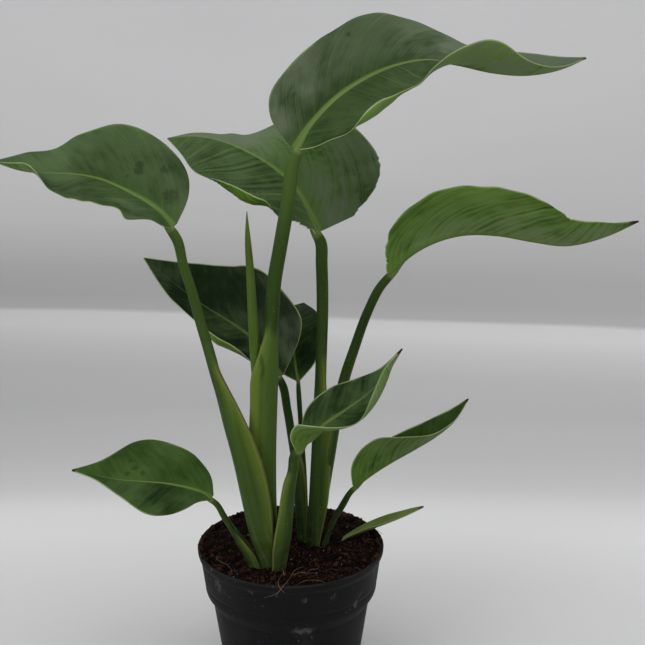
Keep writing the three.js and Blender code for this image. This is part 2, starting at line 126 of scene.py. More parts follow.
# A material, painted by its look: the dark and the light of its base, its shine, its noises and its paints.
class Finish(Nodes):
    def __init__(self, name, look):
        self.material = bpy.data.materials.new(name)
        self.material.use_nodes = True
        super().__init__(self.material.node_tree)
        self.inputs = self.tree.nodes["Principled BSDF"].inputs
        self.look = look
        self.feed(self.inputs["Specular IOR Level"], look["shine"])
        self.feed(self.inputs["Specular Tint"], look.get("sheen", (1, 1, 1)))
        self.place = self.node("ShaderNodeTexCoord", None, 3)

    # Values that the mesh holds.
    def fields(self, *names):
        return [self.node("ShaderNodeAttribute", None, 2, attribute_name=name) for name in names]

    def noise(self, at, scale, detail, roughness):
        sockets = {"Vector": at, "Scale": scale, "Detail": detail, "Roughness": roughness}
        return self.node("ShaderNodeTexNoise", sockets)

    # Noises in space: scale, or one scale for each axis, then detail and roughness.
    def noises(self, *names):
        made = []
        for scale, detail, roughness in (self.look[name] for name in names):
            if isinstance(scale, tuple):
                at = self.node("ShaderNodeMapping", {"Vector": self.place, "Scale": scale})
                made.append(self.noise(at, 1, detail, roughness))
            else:
                made.append(self.noise(self.place, scale, detail, roughness))
        return made

    # Noises over two fields: the rate along each, a seed, detail and roughness.
    def streaks(self, first, second, *names):
        made = []
        for firstRate, secondRate, seed, detail, roughness in (self.look[name] for name in names):
            at = self.join(first * firstRate, second * secondRate, seed)
            made.append(self.noise(at, 1, detail, roughness))
        return made

    def mix(self, share, a, b):
        return self.node("ShaderNodeMix", {0: share, 6: a, 7: b}, 2, data_type="RGBA")

    def base(self, tone):
        self.colour = self.mix(tone, self.look["dark"], self.look["light"])

    # Lays a paint over the colour. The look has the paint's colour, its cover and, if value is no share yet,
    # where it starts and where it is full.
    def lay(self, paint, value, extra=None):
        colour, cover, *edge = self.look[paint]
        share = value.rise(*edge) if edge else value
        if extra:
            share = share * extra
        self.colour = self.mix(share * cover, self.colour, colour)
        return share

    def done(self, roughness, height=None):
        self.feed(self.inputs["Base Color"], self.colour)
        self.feed(self.inputs["Roughness"], roughness)
        if height:
            distance, strength = self.look["bump"]
            sockets = {"Height": height, "Distance": distance, "Strength": strength}
            self.feed(self.inputs["Normal"], self.node("ShaderNodeBump", sockets))
        return self.material


# A new object. Its points are in millimetres unless a size says otherwise.
def newPiece(name, points, edges=(), faces=(), fields=None, materials=(), size=mm):
    mesh = bpy.data.meshes.new(name)
    mesh.from_pydata((np.array(points, float) * size).tolist(), list(edges), list(faces))
    for key, values in (fields or {}).items():
        values = np.asarray(values, np.float32)
        mesh.attributes.new(key, "FLOAT", "POINT").data.foreach_set("value", values)
    for material in materials:
        mesh.materials.append(material)
    piece = bpy.data.objects.new(name, mesh)
    bpy.context.scene.collection.objects.link(piece)
    return piece


def dress(piece, node=None):
    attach(piece, "root")
    if node:
        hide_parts(node)


# Turns every face of a closed shell outwards.
def outward(piece):
    shell = bmesh.new()
    shell.from_mesh(piece.data)
    bmesh.ops.remove_doubles(shell, verts=shell.verts, dist=1e-7)
    bmesh.ops.recalc_face_normals(shell, faces=shell.faces)
    shell.to_mesh(piece.data)
    shell.free()


# Points of rings round the upright axis, from radius and height.
def ringPoints(outline, sides):
    turns = [fullTurn * k / sides for k in range(sides)]
    return [(r * math.cos(turn), r * math.sin(turn), z) for r, z in outline for turn in turns]


# Faces of rings round point 0, and round the last point too if they close there.
def ringFaces(rings, sides, closed=False):
    def at(ring, k):
        return 1 + ring * sides + k % sides

    faces = [(0, at(0, k), at(0, k + 1)) for k in range(sides)]
    for ring in range(rings - 1):
        faces += [(at(ring, k), at(ring + 1, k), at(ring + 1, k + 1), at(ring, k + 1)) for k in range(sides)]
    if closed:
        faces += [(1 + rings * sides, at(rings - 1, k + 1), at(rings - 1, k)) for k in range(sides)]
    return faces


# Each leaf in millimetres: the stations that give the solid its shape, which way it heads, and how it looks.
# stalk: x, y, z, left half-width, right half-width, wrap, thickness.
# blade: x, y, z on the rib, then width, lift and curl of the left half and of the right half.
# A pair is for the left half of the blade and the right one.
# tone, underTone, stalkTone, topTone, sheathTone: how light the faces, the stalk, its top and sheath are.
# The tone of each half is also set by how light falls on it, so it holds painted light and shade, and
# underTone adds painted light shining through the underside to its own paler green.
# mottle, underMottle: strength of the clouds. lines: how far single pale veins show.
# haze, tipHaze: painted grey sheen, a reflection, on the inner and on the outer length of the upper face.
# wax: the same painted grey sheen all over it.
# bloom: painted pale sheen on the underside, at the base and at the tip. rimUnderSheen: how much of it reaches
# the margin.
# margin: how far its pale line shows. spots: share of the length, distance from the rib, radius.
# lean, sweep: how far the side veins run on to the tip, at once and farther out. ribbing: their relief.
# flutter: waves of a margin. jags: its ragged stretches, as side, from share, to share, depth.
# pale: the pale edge of the sheath, its own lighter green with painted light shining through it. flange: how
# far it shows low down, how much more at the top, and the length over which that fades; where it shows more low
# down it paints light into the shade there. edgeDry: its brown line. stripe: a dark one, how far round and how
# dark.
plainLeaf = {
    "seed": 1, "tone": (0.3, 0.3), "underTone": 0.3, "mottle": 1, "underMottle": 1, "haze": (0.15, 0.15),
    "tipHaze": (0, 0), "wax": 0, "bloom": (0.15, 0.15), "rimUnderSheen": 0.2, "dust": 0, "margin": (0, 0),
    "lines": 0.3, "spots": [], "dryTip": 5, "lean": 0.5, "sweep": 0.012, "ribbing": 0.6, "ribWidth": 1,
    "flutter": (0.5, 0.5), "jags": [], "stalkTone": 0.45, "topTone": 0, "sheathTone": 0.1, "pale": 0.5,
    "flange": (0.3, 0.7, 45), "edgeDry": 0.25, "stripe": (0, 0),
}
leaves = {
    "leaf_top": {
        "stalk": [
            (-13, -38, 112, 6, 6, 60, 6), (-13, -38, 137, 7, 7, 70, 6.5), (-13.5, -39, 165, 12, 12, 85, 6.5),
            (-14.5, -40, 200, 19, 19, 100, 7), (-14.5, -41, 240, 23, 23, 105, 7.5),
            (-13.5, -40, 285, 23, 23, 100, 8.5), (-13, -39, 313, 22, 22, 95, 9.5),
            (-13.3, -38.5, 325, 14, 17, 85, 10.5), (-14, -38, 337, 7, 11, 85, 11.6),
            (-14, -38, 347, 6, 7.6, 55, 12), (-13.6, -38, 357, 5.8, 5.8, 25, 12),
            (-11, -37, 390, 5.6, 5.6, 25, 12), (-6.4, -36, 416, 5.4, 5.4, 25, 11.8),
            (1, -35, 458, 5, 5, 25, 11.4), (6, -34, 490, 4.6, 4.6, 25, 10),
        ],
        "blade": [
            (6, -34, 499, 4, 75, 0, 3, -50, 0), (9, -32.8, 504, 21, 76, 0, 13, -54, 10),
            (16, -30, 514, 39, 72, 5, 27, -45, 20), (30, -26, 530, 46, 68, 5, 49, -46, 60),
            (42, -23, 541, 48, 67, 0, 58, -52, 118), (57, -20, 551, 49, 66, 0, 56, -58, 150),
            (86, -18, 564, 51, 58, 0, 47, -44, 80), (114, -20, 569, 42, 36, 0, 43, -28, 50),
            (137, -24, 566, 38, 24, 0, 40, 2, 60), (164, -30, 560, 34, 28, 0, 38.5, 35, 30),
            (193, -36, 558, 24, 42, 0, 27, 26, 20), (218, -42, 563, 13, 45, 0, 12, 15, 10),
            (236, -46, 571.5, 1, 45, 0, 1, 15, 0),
        ],
        "heading": 0, "seed": 11, "tone": (0.27, 0.29), "underTone": 1.1, "mottle": 0.5, "underMottle": 1.6,
        "haze": (1.2, -0.05), "tipHaze": (1.6, 0.2), "wax": 0.2, "bloom": (0.15, 3.3), "rimUnderSheen": 0.6,
        "margin": (-0.5, 0.8), "lines": 0.9,
        "spots": [(0.13, 27, 2), (0.33, 40, 1.8), (0.1, 12, 1.5), (0.3, 50, 3.5)], "dryTip": 2, "sweep": 0.008,
        "ribbing": 0.2, "ribWidth": 0.88, "flutter": (0.35, 0.15), "stalkTone": 0.47, "topTone": 0.6,
        "sheathTone": 0.75, "pale": 1.2, "flange": (1, -1, 70), "edgeDry": 0.1, "stripe": (-13.5, 0.9),
    },
    "leaf_left": {
        "stalk": [
            (-24, -40, 112, 10, 10, 90, 5), (-25, -41, 137, 14, 13, 95, 5.5), (-32, -44, 165, 24, 20, 95, 6),
            (-38, -45, 198, 30, 24, 95, 6.5), (-45, -46, 236, 30, 17, 90, 6.5), (-52, -47, 268, 25, 11, 85, 7),
            (-57, -47, 294, 16.5, 7.5, 75, 8), (-61.3, -47, 313, 10, 5.4, 60, 9),
            (-64.8, -46.6, 328, 6, 4.7, 38, 9.2), (-67.6, -46.2, 339, 4.6, 4.5, 26, 9),
            (-70.6, -46, 350, 4.5, 4.5, 25, 8.8), (-80.4, -44, 388, 4.3, 4.3, 25, 8.4),
            (-86, -43, 407, 4.2, 4.2, 25, 8), (-90.2, -41, 426, 4.6, 4.6, 25, 8.6),
        ],
        "blade": [
            (-93, -40, 436.4, 4, -20, 0, 4, 60, 0), (-101, -38.5, 445.5, 30, -7, 10, 30, 64, 0),
            (-113, -36.5, 455.5, 48, -16, 10, 45, 67, 0), (-122, -35, 460.5, 40, -14, 10, 49, 68, 0),
            (-136, -33.3, 467.5, 46, -15, 10, 51.5, 67, 0), (-149, -32, 473, 48, -15, 10, 51, 66, 0),
            (-171, -32, 478, 52, -16, 15, 38.5, 55, 0), (-190, -34, 479.5, 42, -15, 25, 27, 40, 0),
            (-216, -38, 482.5, 17, 25, 30, 18, 42, 0), (-236, -42, 490, 1, 30, 0, 1, 40, 0),
        ],
        "heading": 180, "seed": 23, "tone": (0.42, 0.44), "underTone": 0.52, "mottle": 0.8, "haze": (0.5, 0.35),
        "tipHaze": (0.1, 0.1), "wax": 0.3, "bloom": (0.7, 0.9), "margin": (0.5, -0.7), "lines": 0.5,
        "spots": [(0.2, -31, 3), (0.3, -19, 3.6), (0.31, -24, 3), (0.12, -15, 5), (0.34, -11, 1.4)],
        "dryTip": 1, "sweep": 0.009, "ribbing": 0.4, "flutter": (0.3, 0.35), "stalkTone": 0.64, "pale": 0.75,
        "flange": (0.5, 0.15, 45), "edgeDry": 1,
    },
    "leaf_middle": {
        "stalk": [
            (17, 6, 112, 9, 9, 80, 6), (17.5, 5, 138, 12, 12, 95, 6.5), (20, 6, 175, 17.2, 16, 100, 7),
            (23, 8, 223, 17, 15.5, 95, 8), (25, 10, 262, 14, 13, 75, 8.5), (27, 11, 290, 9, 9, 50, 9.5),
            (27.8, 11.8, 306, 7.6, 7.6, 40, 10), (28.2, 12.2, 318, 5, 5, 25, 10), (29, 14, 361, 5, 5, 25, 10.4),
            (28.2, 15, 394, 5, 5, 25, 10.4), (27, 16, 414, 4.8, 4.8, 25, 10),
        ],
        "blade": [
            (26, 16, 421, 6, -30, 0, 34, 74, 0), (20.5, 18, 432.5, 20, -34, 0, 62, 78, 0),
            (14.5, 20, 444, 40, -36, 20, 75, 77, 0), (4, 23, 461, 62, -42, 90, 76, 72, 0),
            (-13, 26, 476, 70, -54, 135, 66, 58, 0), (-37, 28, 490, 64, -53, 115, 56, 14, 0),
            (-65, 30, 500, 46, -47, 40, 44, 0, 0), (-85, 32, 502, 27, -50, 0, 28, 0, 0),
            (-105, 34, 500, 1, -50, 0, 1, 0, 0),
        ],
        "heading": 180, "seed": 31, "tone": (0.52, 0.95), "underTone": 0.45, "haze": (0.2, 1.3),
        "tipHaze": (0.1, 1.8), "wax": 0.35, "margin": (0.8, -0.3), "lines": 0.5,
        "spots": [(0.2, -48, 2), (0.36, -40, 1.6)], "dryTip": 0, "lean": 0.4, "sweep": 0.02, "ribbing": 1.8,
        "flutter": (0.1, 0.3), "jags": [(-1, 0, 0.08, 5), (-1, 0.06, 0.22, 1.8), (1, 0, 0.16, 6)],
        "stalkTone": 0.5, "pale": 0.8,
    },
    "leaf_right": {
        "stalk": [
            (25, 6, 112, 5, 5, 40, 5), (26, 6, 139, 6, 6, 50, 6), (30, 6, 174, 7.5, 7.5, 60, 7.5),
            (35.5, 5, 215, 8, 8, 60, 9), (41.5, 4, 256, 8, 8, 50, 9.4), (48.5, 4, 292, 5.5, 5.5, 30, 9.6),
            (57, 3, 320, 4.6, 4.6, 25, 8.8), (69, 2, 355, 4.2, 4.2, 25, 8.2), (79, 1, 376, 4, 4, 25, 7.8),
        ],
        "blade": [
            (86, 0, 389, 3, 30, 0, 3, 70, 0), (98, -2, 402, 20, 35, 0, 24, 66, 0),
            (108, -4, 410, 34, 38, 0, 36, 62, 0), (124, -6, 418.5, 43, 38, 0, 47, 60, 0),
            (147, -9, 425, 45, 38, 0, 51, 60, 0), (175, -12, 425, 43, 38, 0, 49, 60, 0),
            (206, -14, 419.5, 37, 40, 0, 42, 61, 0), (233, -16, 416, 27, 50, 0, 31, 60, 0),
            (268, -18, 424.5, 12, 58, 0, 16, 62, 0), (293, -20, 437, 1, 60, 0, 1, 50, 0),
        ],
        "heading": 0, "seed": 43, "tone": (0.37, 0.37), "underTone": 0.6, "underMottle": 1.15,
        "bloom": (0.4, 1.7), "dryTip": 6, "lean": 0.7, "sweep": 0.018, "ribbing": 0.9, "flutter": (0.4, 0.5),
        "jags": [(-1, 0, 0.12, 3), (-1, 0.69, 0.75, 3)], "stalkTone": 0.42,
    },
    "leaf_back": {
        "stalk": [
            (8, 14, 112, 8, 7, 60, 6), (8, 13, 141, 10, 9, 70, 6), (6, 13, 172, 13, 11, 80, 6),
            (4, 15, 208, 11, 10, 70, 7), (1, 17, 232, 5, 5, 40, 7.6), (-3, 20, 258, 3.9, 3.9, 25, 7.6),
            (-8, 23, 282, 3.8, 3.8, 25, 7.2),
        ],
        "blade": [
            (-8, 23, 288, 3, -20, 0, 3, 70, 0), (-21, 25.5, 306, 24, -28, 40, 40, 74, 0),
            (-38, 30, 325, 40, -43, 125, 50, 76, 0), (-56, 34, 337, 44, -41, 125, 54, 76, 0),
            (-74, 38, 347, 31, -30, 60, 46, 74, 0), (-101, 44, 366, 19, -30, 20, 28, 62, 0),
            (-132, 50, 391, 1, -30, 0, 1, 50, 0),
        ],
        "heading": 180, "seed": 53, "tone": (0.07, 0.01), "underTone": 0.67, "haze": (0, 1.1),
        "bloom": (2.2, 2), "dust": 0.2, "margin": (0.8, 0.8), "lines": 0.1, "dryTip": -4, "ribbing": 0.5,
        "flutter": (0.3, 0.4), "stalkTone": 0.2,
    },
    "leaf_far": {
        "stalk": [
            (11, 27, 112, 4, 4, 40, 5), (11, 27, 150, 5, 5, 50, 5), (11, 29, 186, 3.6, 3.6, 30, 5),
            (9, 32, 239, 2.2, 2.2, 20, 4.2), (7, 36, 273, 2, 2, 20, 3.8),
        ],
        "blade": [
            (7, 37, 279, 2, 5, 0, 2, 5, 0), (5, 42, 288, 15, 5, 0, 15, 5, 0), (3, 50, 302, 22, 5, 0, 24, 5, 0),
            (3, 62, 320, 22, 5, 0, 26, 5, 0), (6, 78, 332, 16, 5, 0, 20, 5, 0), (11, 98, 337, 1, 5, 0, 1, 5, 0),
        ],
        "heading": 90, "seed": 61, "tone": (0.11, 0.07), "haze": (0, 0), "lines": 0.15, "dryTip": -4,
        "flutter": (0.5, 0.4), "stalkTone": 0.3,
    },
    "leaf_front": {
        "stalk": [
            (-9, -41, 112, 11, 11, 60, 8), (-6, -44, 138, 13.5, 13.5, 70, 8),
            (-2.3, -50, 165, 14.4, 15.4, 75, 8.6), (0, -55, 190, 12, 13.5, 70, 8.6),
            (1.8, -59, 215, 7.5, 11, 65, 9), (3, -60.2, 225, 6, 9.5, 60, 9), (4.3, -61.2, 233, 5, 6, 35, 9),
            (6.3, -63, 247, 4.2, 4.4, 25, 8),
        ],
        "blade": [
            (7.4, -63.2, 251.5, 3, 60, 0, 3, 66, 0), (12, -64, 257, 9, 60, 0, 15, 66, 20),
            (20, -64, 262.5, 15, 60, 0, 24, 40, 70), (32, -62, 273.5, 22, 62, 0, 28, -12, 90),
            (48, -58, 284, 23, 64, 0, 27, -30, 60), (65, -54, 295.5, 18, 60, 0, 33, -24, 125),
            (81, -50, 311, 9.5, 50, 0, 26, -6, 125), (96, -46, 334, 1, 50, 0, 1, 30, 0),
        ],
        "heading": 0, "seed": 71, "tone": (0.28, 0.28), "underTone": 0.66, "bloom": (0.4, 1.5), "rimUnderSheen": 1,
        "dust": 0.4, "margin": (-0.35, 0.3), "lines": 0.2, "spots": [(0.42, 12, 1.2)], "sweep": 0.025,
        "ribbing": 0.5, "flutter": (0.3, 0.15), "stalkTone": 0.42, "pale": 0.65, "flange": (0.05, 0.9, 40),
        "edgeDry": 0.5,
    },
    "leaf_low_left": {
        "stalk": [
            (-32, -37, 112, 12, 9, 80, 4.5), (-36, -38.5, 134, 13, 10, 85, 4.5),
            (-43.5, -39.5, 152, 10.5, 8, 75, 5), (-50, -40, 167, 5, 4.4, 45, 5.6),
            (-57, -41, 180, 3.2, 3.2, 25, 5.6), (-64, -42, 193, 3, 3, 25, 5),
        ],
        "blade": [
            (-67, -42, 198, 3, -30, 0, 3, 60, 0), (-76, -42, 203.5, 12, -30, 0, 17.5, 62, 0),
            (-88, -42, 207.5, 23.5, -38, 0, 28, 67, 0), (-104, -42, 211, 30, -42, 0, 34, 71, 0),
            (-124, -43, 213.5, 28.5, -44, 0, 36.5, 73, 0), (-146, -45, 216, 14.5, -42, 0, 28.5, 67, 0),
            (-167, -47, 221, 4.5, -30, 0, 12, 58, 0), (-186, -48, 226, 0.8, -30, 0, 0.8, 50, 0),
        ],
        "heading": 180, "seed": 83, "tone": (0.3, 0.63), "haze": (0, 0), "dust": 0.15, "margin": (-0.1, -0.5),
        "lines": 0.05,
        "spots": [(0.56, -11, 2.6), (0.62, -6, 1.8), (0.6, -17, 1.8), (0.51, -7, 2), (0.3, 24, 1.8)],
        "dryTip": 2, "ribbing": 0.3, "ribWidth": 0.75, "flutter": (0.3, 0.35), "stalkTone": 0.48, "pale": 0.8,
        "edgeDry": 0.6,
    },
    "leaf_low_right": {
        "stalk": [
            (31, 6, 112, 5, 5, 50, 5), (33, 5, 137, 6.5, 6.5, 60, 5), (39, 3, 155, 4, 4, 40, 5),
            (48, 0, 174, 3.2, 3.2, 25, 6), (55, -2, 187, 2.8, 2.8, 25, 5),
        ],
        "blade": [
            (57.5, -2.2, 192.2, 2.6, 40, 0, 2.6, 70, 0), (64, -3, 198, 9, 45, 0, 15, 72, 0),
            (75, -4.5, 207, 15, 48, 0, 26, 72, 0), (91, -6, 218, 19, 52, 0, 32, 68, 0),
            (112, -8, 231, 18.5, 60, 0, 27, 50, 0), (130, -9.5, 243, 16, 62, 0, 17, 32, 0),
            (145, -10.5, 257, 12, 60, 0, 8, 20, 0), (157, -11, 278, 0.8, 60, 0, 0.8, 0, 0),
        ],
        "heading": 0, "seed": 97, "tone": (0.48, 0.48), "underTone": 0.56, "bloom": (0.1, 1.9), "rimUnderSheen": 0.6,
        "margin": (0, 0.9), "dryTip": 3, "sweep": 0.02, "ribbing": 0.5, "flutter": (0.3, 0.3),
        "stalkTone": 0.35,
    },
    "first_leaf": {
        "stalk": [
            (42, 12, 118, 2, 2, 30, 3), (47, 11, 132, 2.4, 2.4, 30, 3), (63, 9, 141.5, 6, 6, 45, 2.4),
            (82, 6, 150.5, 8.8, 8.8, 40, 1.8), (102, 3, 160.5, 7, 7, 30, 1.6), (114, 2.4, 166.5, 4, 4, 25, 1.4),
            (121, 2, 170, 1.2, 1.2, 20, 1.2),
        ],
        "heading": 0, "edgeDry": 0,
    },
}


# A smooth curve through stations. Every column is read at a share of the length of the line.
class Track:
    samples = 600

    def __init__(self, stations, blur=7):
        rows = np.array(stations, float)
        steps = np.linalg.norm(np.diff(rows[:, :3], axis=0), axis=1)
        knots = np.concatenate([[0], np.cumsum(steps)])
        self.length = knots[-1]
        rises = np.diff(rows, axis=0) / steps[:, None]
        before, after = steps[:-1, None], steps[1:, None]
        inner = (after * rises[:-1] + before * rises[1:]) / (before + after)
        slopes = np.vstack([rises[:1], inner, rises[-1:]])
        self.shares = np.linspace(0, 1, self.samples + 1)
        where = self.shares * self.length
        i = np.clip(np.searchsorted(knots, where) - 1, 0, len(knots) - 2)
        t = ((where - knots[i]) / steps[i])[:, None]
        ease = 3 * t**2 - 2 * t**3
        bends = slopes[i] * (t**3 - 2 * t**2 + t) + slopes[i + 1] * (t**3 - t**2)
        self.table = rows[i] * (1 - ease) + rows[i + 1] * ease + steps[i][:, None] * bends
        self.soften(blur)

    # Rounds off the change of bend at each station, and keeps both ends where they are.
    def soften(self, blur):
        reach = 3 * blur
        weights = np.exp(-0.5 * (np.arange(-reach, reach + 1) / blur) ** 2)
        weights /= weights.sum()
        low = 2 * self.table[0] - self.table[reach:0:-1]
        high = 2 * self.table[-1] - self.table[-2 : -2 - reach : -1]
        padded = np.vstack([low, self.table, high])
        self.table = np.array([np.convolve(column, weights, "valid") for column in padded.T]).T

    def at(self, shares):
        return np.array([np.interp(shares, self.shares, column) for column in self.table.T]).T

    # The tangent, the side line to the left, and the inner or upper normal.
    def frames(self, shares, heading):
        step = 4e-3
        tangent = unit(self.at(shares + step)[:, :3] - self.at(shares - step)[:, :3])
        turn = math.radians(heading)
        side = np.array([-math.sin(turn), math.cos(turn), 0])
        left = unit(side - (tangent @ side)[:, None] * tangent)
        return tangent, left, np.cross(tangent, left)


def unit(vectors):
    return vectors / np.maximum(np.linalg.norm(vectors, axis=-1, keepdims=True), 1e-12)


# How far out and up each reach of a half stands from its rib, for every section.
def foldedHalf(width, lift, curl, bend, reaches):
    fine = 60
    middle = (np.arange(fine) + 0.5) / fine
    angle = np.radians(lift[:, None] + curl[:, None] * middle**bend)
    edges = np.linspace(0, 1, fine + 1)
    distances = []
    for turned in (np.cos(angle), np.sin(angle)):
        sums = np.hstack([np.zeros((len(width), 1)), np.cumsum(turned, axis=1)]) * (width / fine)[:, None]
        distances.append(np.array([np.interp(reaches, edges, row) for row in sums]))
    return distances


def sectionGrid(origin, left, normal, leftHalf, rightHalf):
    def place(half, side):
        out, up = half
        return origin[:, None] + side * out[..., None] * left[:, None] + up[..., None] * normal[:, None]

    return np.concatenate([place(rightHalf, -1)[:, ::-1], place(leftHalf, 1)[:, 1:]], axis=1)


# The reach from -1 on the right to 1 on the left, and the width of the half that it lies in.
def bothSides(reaches, leftWidth, rightWidth):
    reach = np.concatenate([-reaches[::-1], reaches[1:]]) * np.ones((len(leftWidth), 1))
    return reach, np.where(reach > 0, leftWidth[:, None], rightWidth[:, None])


def gridNormals(grid):
    return unit(np.cross(np.gradient(grid, axis=0), np.gradient(grid, axis=1)))


# A closed skin over a grid: its points, its faces and whether each face is upper, 0, or lower, 1.
def skin(grid, above, below, fields):
    normals = gridNormals(grid)
    layers = [grid + normals * above[..., None], grid - normals * below[..., None]]
    rows, columns = above.shape
    index = np.arange(rows * columns).reshape(rows, columns)
    top = np.stack([index[:-1, :-1], index[1:, :-1], index[1:, 1:], index[:-1, 1:]], axis=-1).reshape(-1, 4)
    rim = np.concatenate([index[:-1, 0], index[-1, :-1], index[:0:-1, -1], index[0, :0:-1]])
    after = np.roll(rim, -1)
    walls = np.stack([rim, rim + index.size, after + index.size, after], axis=1)
    return {
        "points": np.concatenate([layer.reshape(-1, 3) for layer in layers]),
        "faces": np.concatenate([top, top[:, ::-1] + index.size, walls]),
        "lower": np.concatenate([np.zeros(len(top)), np.ones(len(top)), np.zeros(len(walls))]),
        "fields": {name: np.tile(value.ravel(), 2) for name, value in fields.items()},
    }


# One object from several skins. slots gives, for each skin, its upper and its lower material.
def makePiece(name, skins, slots, materials):
    starts = np.cumsum([0] + [len(s["points"]) for s in skins[:-1]])
    faces = np.concatenate([s["faces"] + start for s, start in zip(skins, starts)])
    slot = np.concatenate([np.where(s["lower"], pair[1], pair[0]) for s, pair in zip(skins, slots)])
    fields = {}
    for key in sorted({key for s in skins for key in s["fields"]}):
        fields[key] = np.concatenate([s["fields"].get(key, np.zeros(len(s["points"]))) for s in skins])
    points = np.concatenate([s["points"] for s in skins])
    piece = newPiece(name, points, (), faces.tolist(), fields, materials)
    piece.data.polygons.foreach_set("material_index", slot.astype(np.int32))
    piece.data.shade_smooth()
    return piece


# Smooth up-and-down along a line, the same on each run.
def ripple(place, lengths, seed):
    draw = np.random.default_rng(seed)
    waves = [np.sin(fullTurn * place / length + draw.uniform(0, fullTurn)) for length in lengths]
    return sum(waves) / len(lengths)


def smoothStep(value, low, high):
    t = np.clip((value - low) / (high - low), 0, 1)
    return t * t * (3 - 2 * t)


def bell(distance, width):
    return np.exp(-((distance / width) ** 2))


bladeShape = {
    "rowStep": 1.6, "sideColumns": 26, "curlBend": 3, "leastWidth": 0.4, "halfThick": 0.35, "leastThick": 0.12,
    "jagWaves": (5.3, 8.1, 3.7), "jagStart": 0.03, "jagStop": 0.04, "jagShare": 0.4,
    "veinStart": 4, "veinTurn": 5, "flutterWaves": (53, 31, 19), "flutterHeight": 2.4,
    "furrowWaves": (6.3, 8.7, 12.9), "furrowHeight": 0.2,
    "ribHeight": 0.9, "ribRoot": 0.66, "ribTip": 0.13, "grooveDepth": 0.075, "glowAlong": 26, "glowOut": 9,
    "underSheenSpread": 1.4, "tipDry": 10,
}
stalkShape = {
    "rowStep": 3, "sideColumns": 9, "blur": 5, "wrapBend": 0.6, "edge": 0.6, "leastWidth": 0.3,
    "neckSink": 0.85,
    "neck": [(0.02, 0.8), (0.07, 0.5), (0.15, 0.2)], "sheathFrom": (5.8, 10), "sheathWidth": 7, "topLength": 80,
    "bladeFade": 5, "collarAt": 1.5, "lineWidth": 1.6, "stripeFrom": (12, 18),
}


def jaggedWidth(leaf, width, side, shares, along):
    shape = bladeShape
    for jagSide, start, stop, depth in leaf["jags"]:
        if jagSide == side:
            window = smoothStep(shares, start, start + shape["jagStart"])
            window = window * smoothStep(-shares, -stop, -stop + shape["jagStop"])
            teeth = np.abs(ripple(along, shape["jagWaves"], leaf["seed"])) ** 0.7
            width = width - np.minimum(depth * window * teeth, shape["jagShare"] * width)
    return width


def bladeSkin(leaf):
    shape = bladeShape
    track = Track(leaf["blade"])
    even = np.linspace(0, 1, int(track.length / shape["rowStep"]) + 1)
    shares = 0.6 * even + 0.2 * (1 - np.cos(math.pi * even))
    table = track.at(shares)
    _, left, normal = track.frames(shares, leaf["heading"])
    spread = np.linspace(0, 1, shape["sideColumns"] + 1)
    reaches = 0.35 * spread + 0.65 * spread**2
    along = shares * track.length
    halves, widths = [], []
    for side, column in ((1, 3), (-1, 6)):
        width = jaggedWidth(leaf, np.maximum(table[:, column], shape["leastWidth"]), side, shares, along)
        widths.append(width)
        halves.append(foldedHalf(width, table[:, column + 1], table[:, column + 2], shape["curlBend"], reaches))
    grid = sectionGrid(table[:, :3], left, normal, *halves)
    reach, full = bothSides(reaches, *widths)
    across, out = reach * full, np.abs(reach * full)
    share = shares[:, None] * np.ones_like(out)
    along = share * track.length
    inside = full - out

    def bySide(key):
        return np.where(across > 0, *leaf[key])

    bow = shape["veinStart"] * (1 - np.exp(-out / shape["veinTurn"]))
    vein = along - bow - leaf["lean"] * out - leaf["sweep"] * out**2
    tipFade = smoothStep(track.length - along, 0, 0.3 * track.length)
    flutter = bySide("flutter") * (out / 40) ** 1.6 * (0.35 + 0.65 * tipFade) * shape["flutterHeight"]
    waves = ripple(along + 5 * np.sign(across), shape["flutterWaves"], leaf["seed"] + 1)
    grid = grid + gridNormals(grid) * (flutter * waves)[..., None]
    furrow = ripple(vein + 40 * (across > 0), shape["furrowWaves"], leaf["seed"] + 2) * smoothStep(out, 2, 8)
    relief = furrow * shape["furrowHeight"] * leaf["ribbing"] * smoothStep(inside, 0, 5)
    ribRadius = leaf["stalk"][-1][3]
    fade = 1 - share
    ribWide = ribRadius * leaf["ribWidth"] * (shape["ribRoot"] * fade**1.9 + shape["ribTip"])
    ridge = ribRadius * shape["ribHeight"] * fade**1.4 * bell(out, 1.2 * ribWide)
    groove = ribRadius * shape["grooveDepth"] * fade**0.6 * bell(out, 0.6 * ribWide)
    half = np.maximum(shape["halfThick"] * smoothStep(inside, -0.6, 1.4), shape["leastThick"])
    blemish = np.zeros_like(out)
    for at, aside, radius in leaf["spots"]:
        gap = np.hypot(along - at * track.length, across - aside)
        blemish = np.maximum(blemish, bell(gap, math.sqrt(2) * radius))
    # Painted grey sheen, a reflection, on the upper face near the base, and painted pale sheen on the
    # underside.
    innerHaze = bySide("haze") * bell(along, 0.3 * track.length) * smoothStep(out, 3, 20)
    baseUnderSheen, tipUnderSheen = leaf["bloom"]
    rimLoss = (shape["underSheenSpread"] - leaf["rimUnderSheen"]) * out / full
    fields = {
        "across": across * mm,
        "along": along * mm,
        "vein": vein * mm,
        "ribShare": out / ribWide,
        "ribFade": fade,
        "fromMargin": inside * mm,
        "marginShow": bySide("margin"),
        "fromTip": (track.length - along + shape["tipDry"] - leaf["dryTip"]) * mm,
        "blemish": blemish,
        # Lighter or darker per half, partly by how light falls on it: painted light and shade.
        "tone": bySide("tone"),
        "bloom": (baseUnderSheen * fade + tipUnderSheen * share) * (shape["underSheenSpread"] - rimLoss),
        "glow": np.exp(-along / shape["glowAlong"] - out / shape["glowOut"]),
        "haze": leaf["wax"] + innerHaze + bySide("tipHaze") * smoothStep(share, 0.35, 0.65),
        "furrow": furrow,
    }
    for key in ("underTone", "dust", "ribbing", "lines", "mottle", "underMottle"):
        fields[key] = np.full_like(out, leaf[key])
    return skin(grid, half + relief - groove, half - relief + ridge, fields)


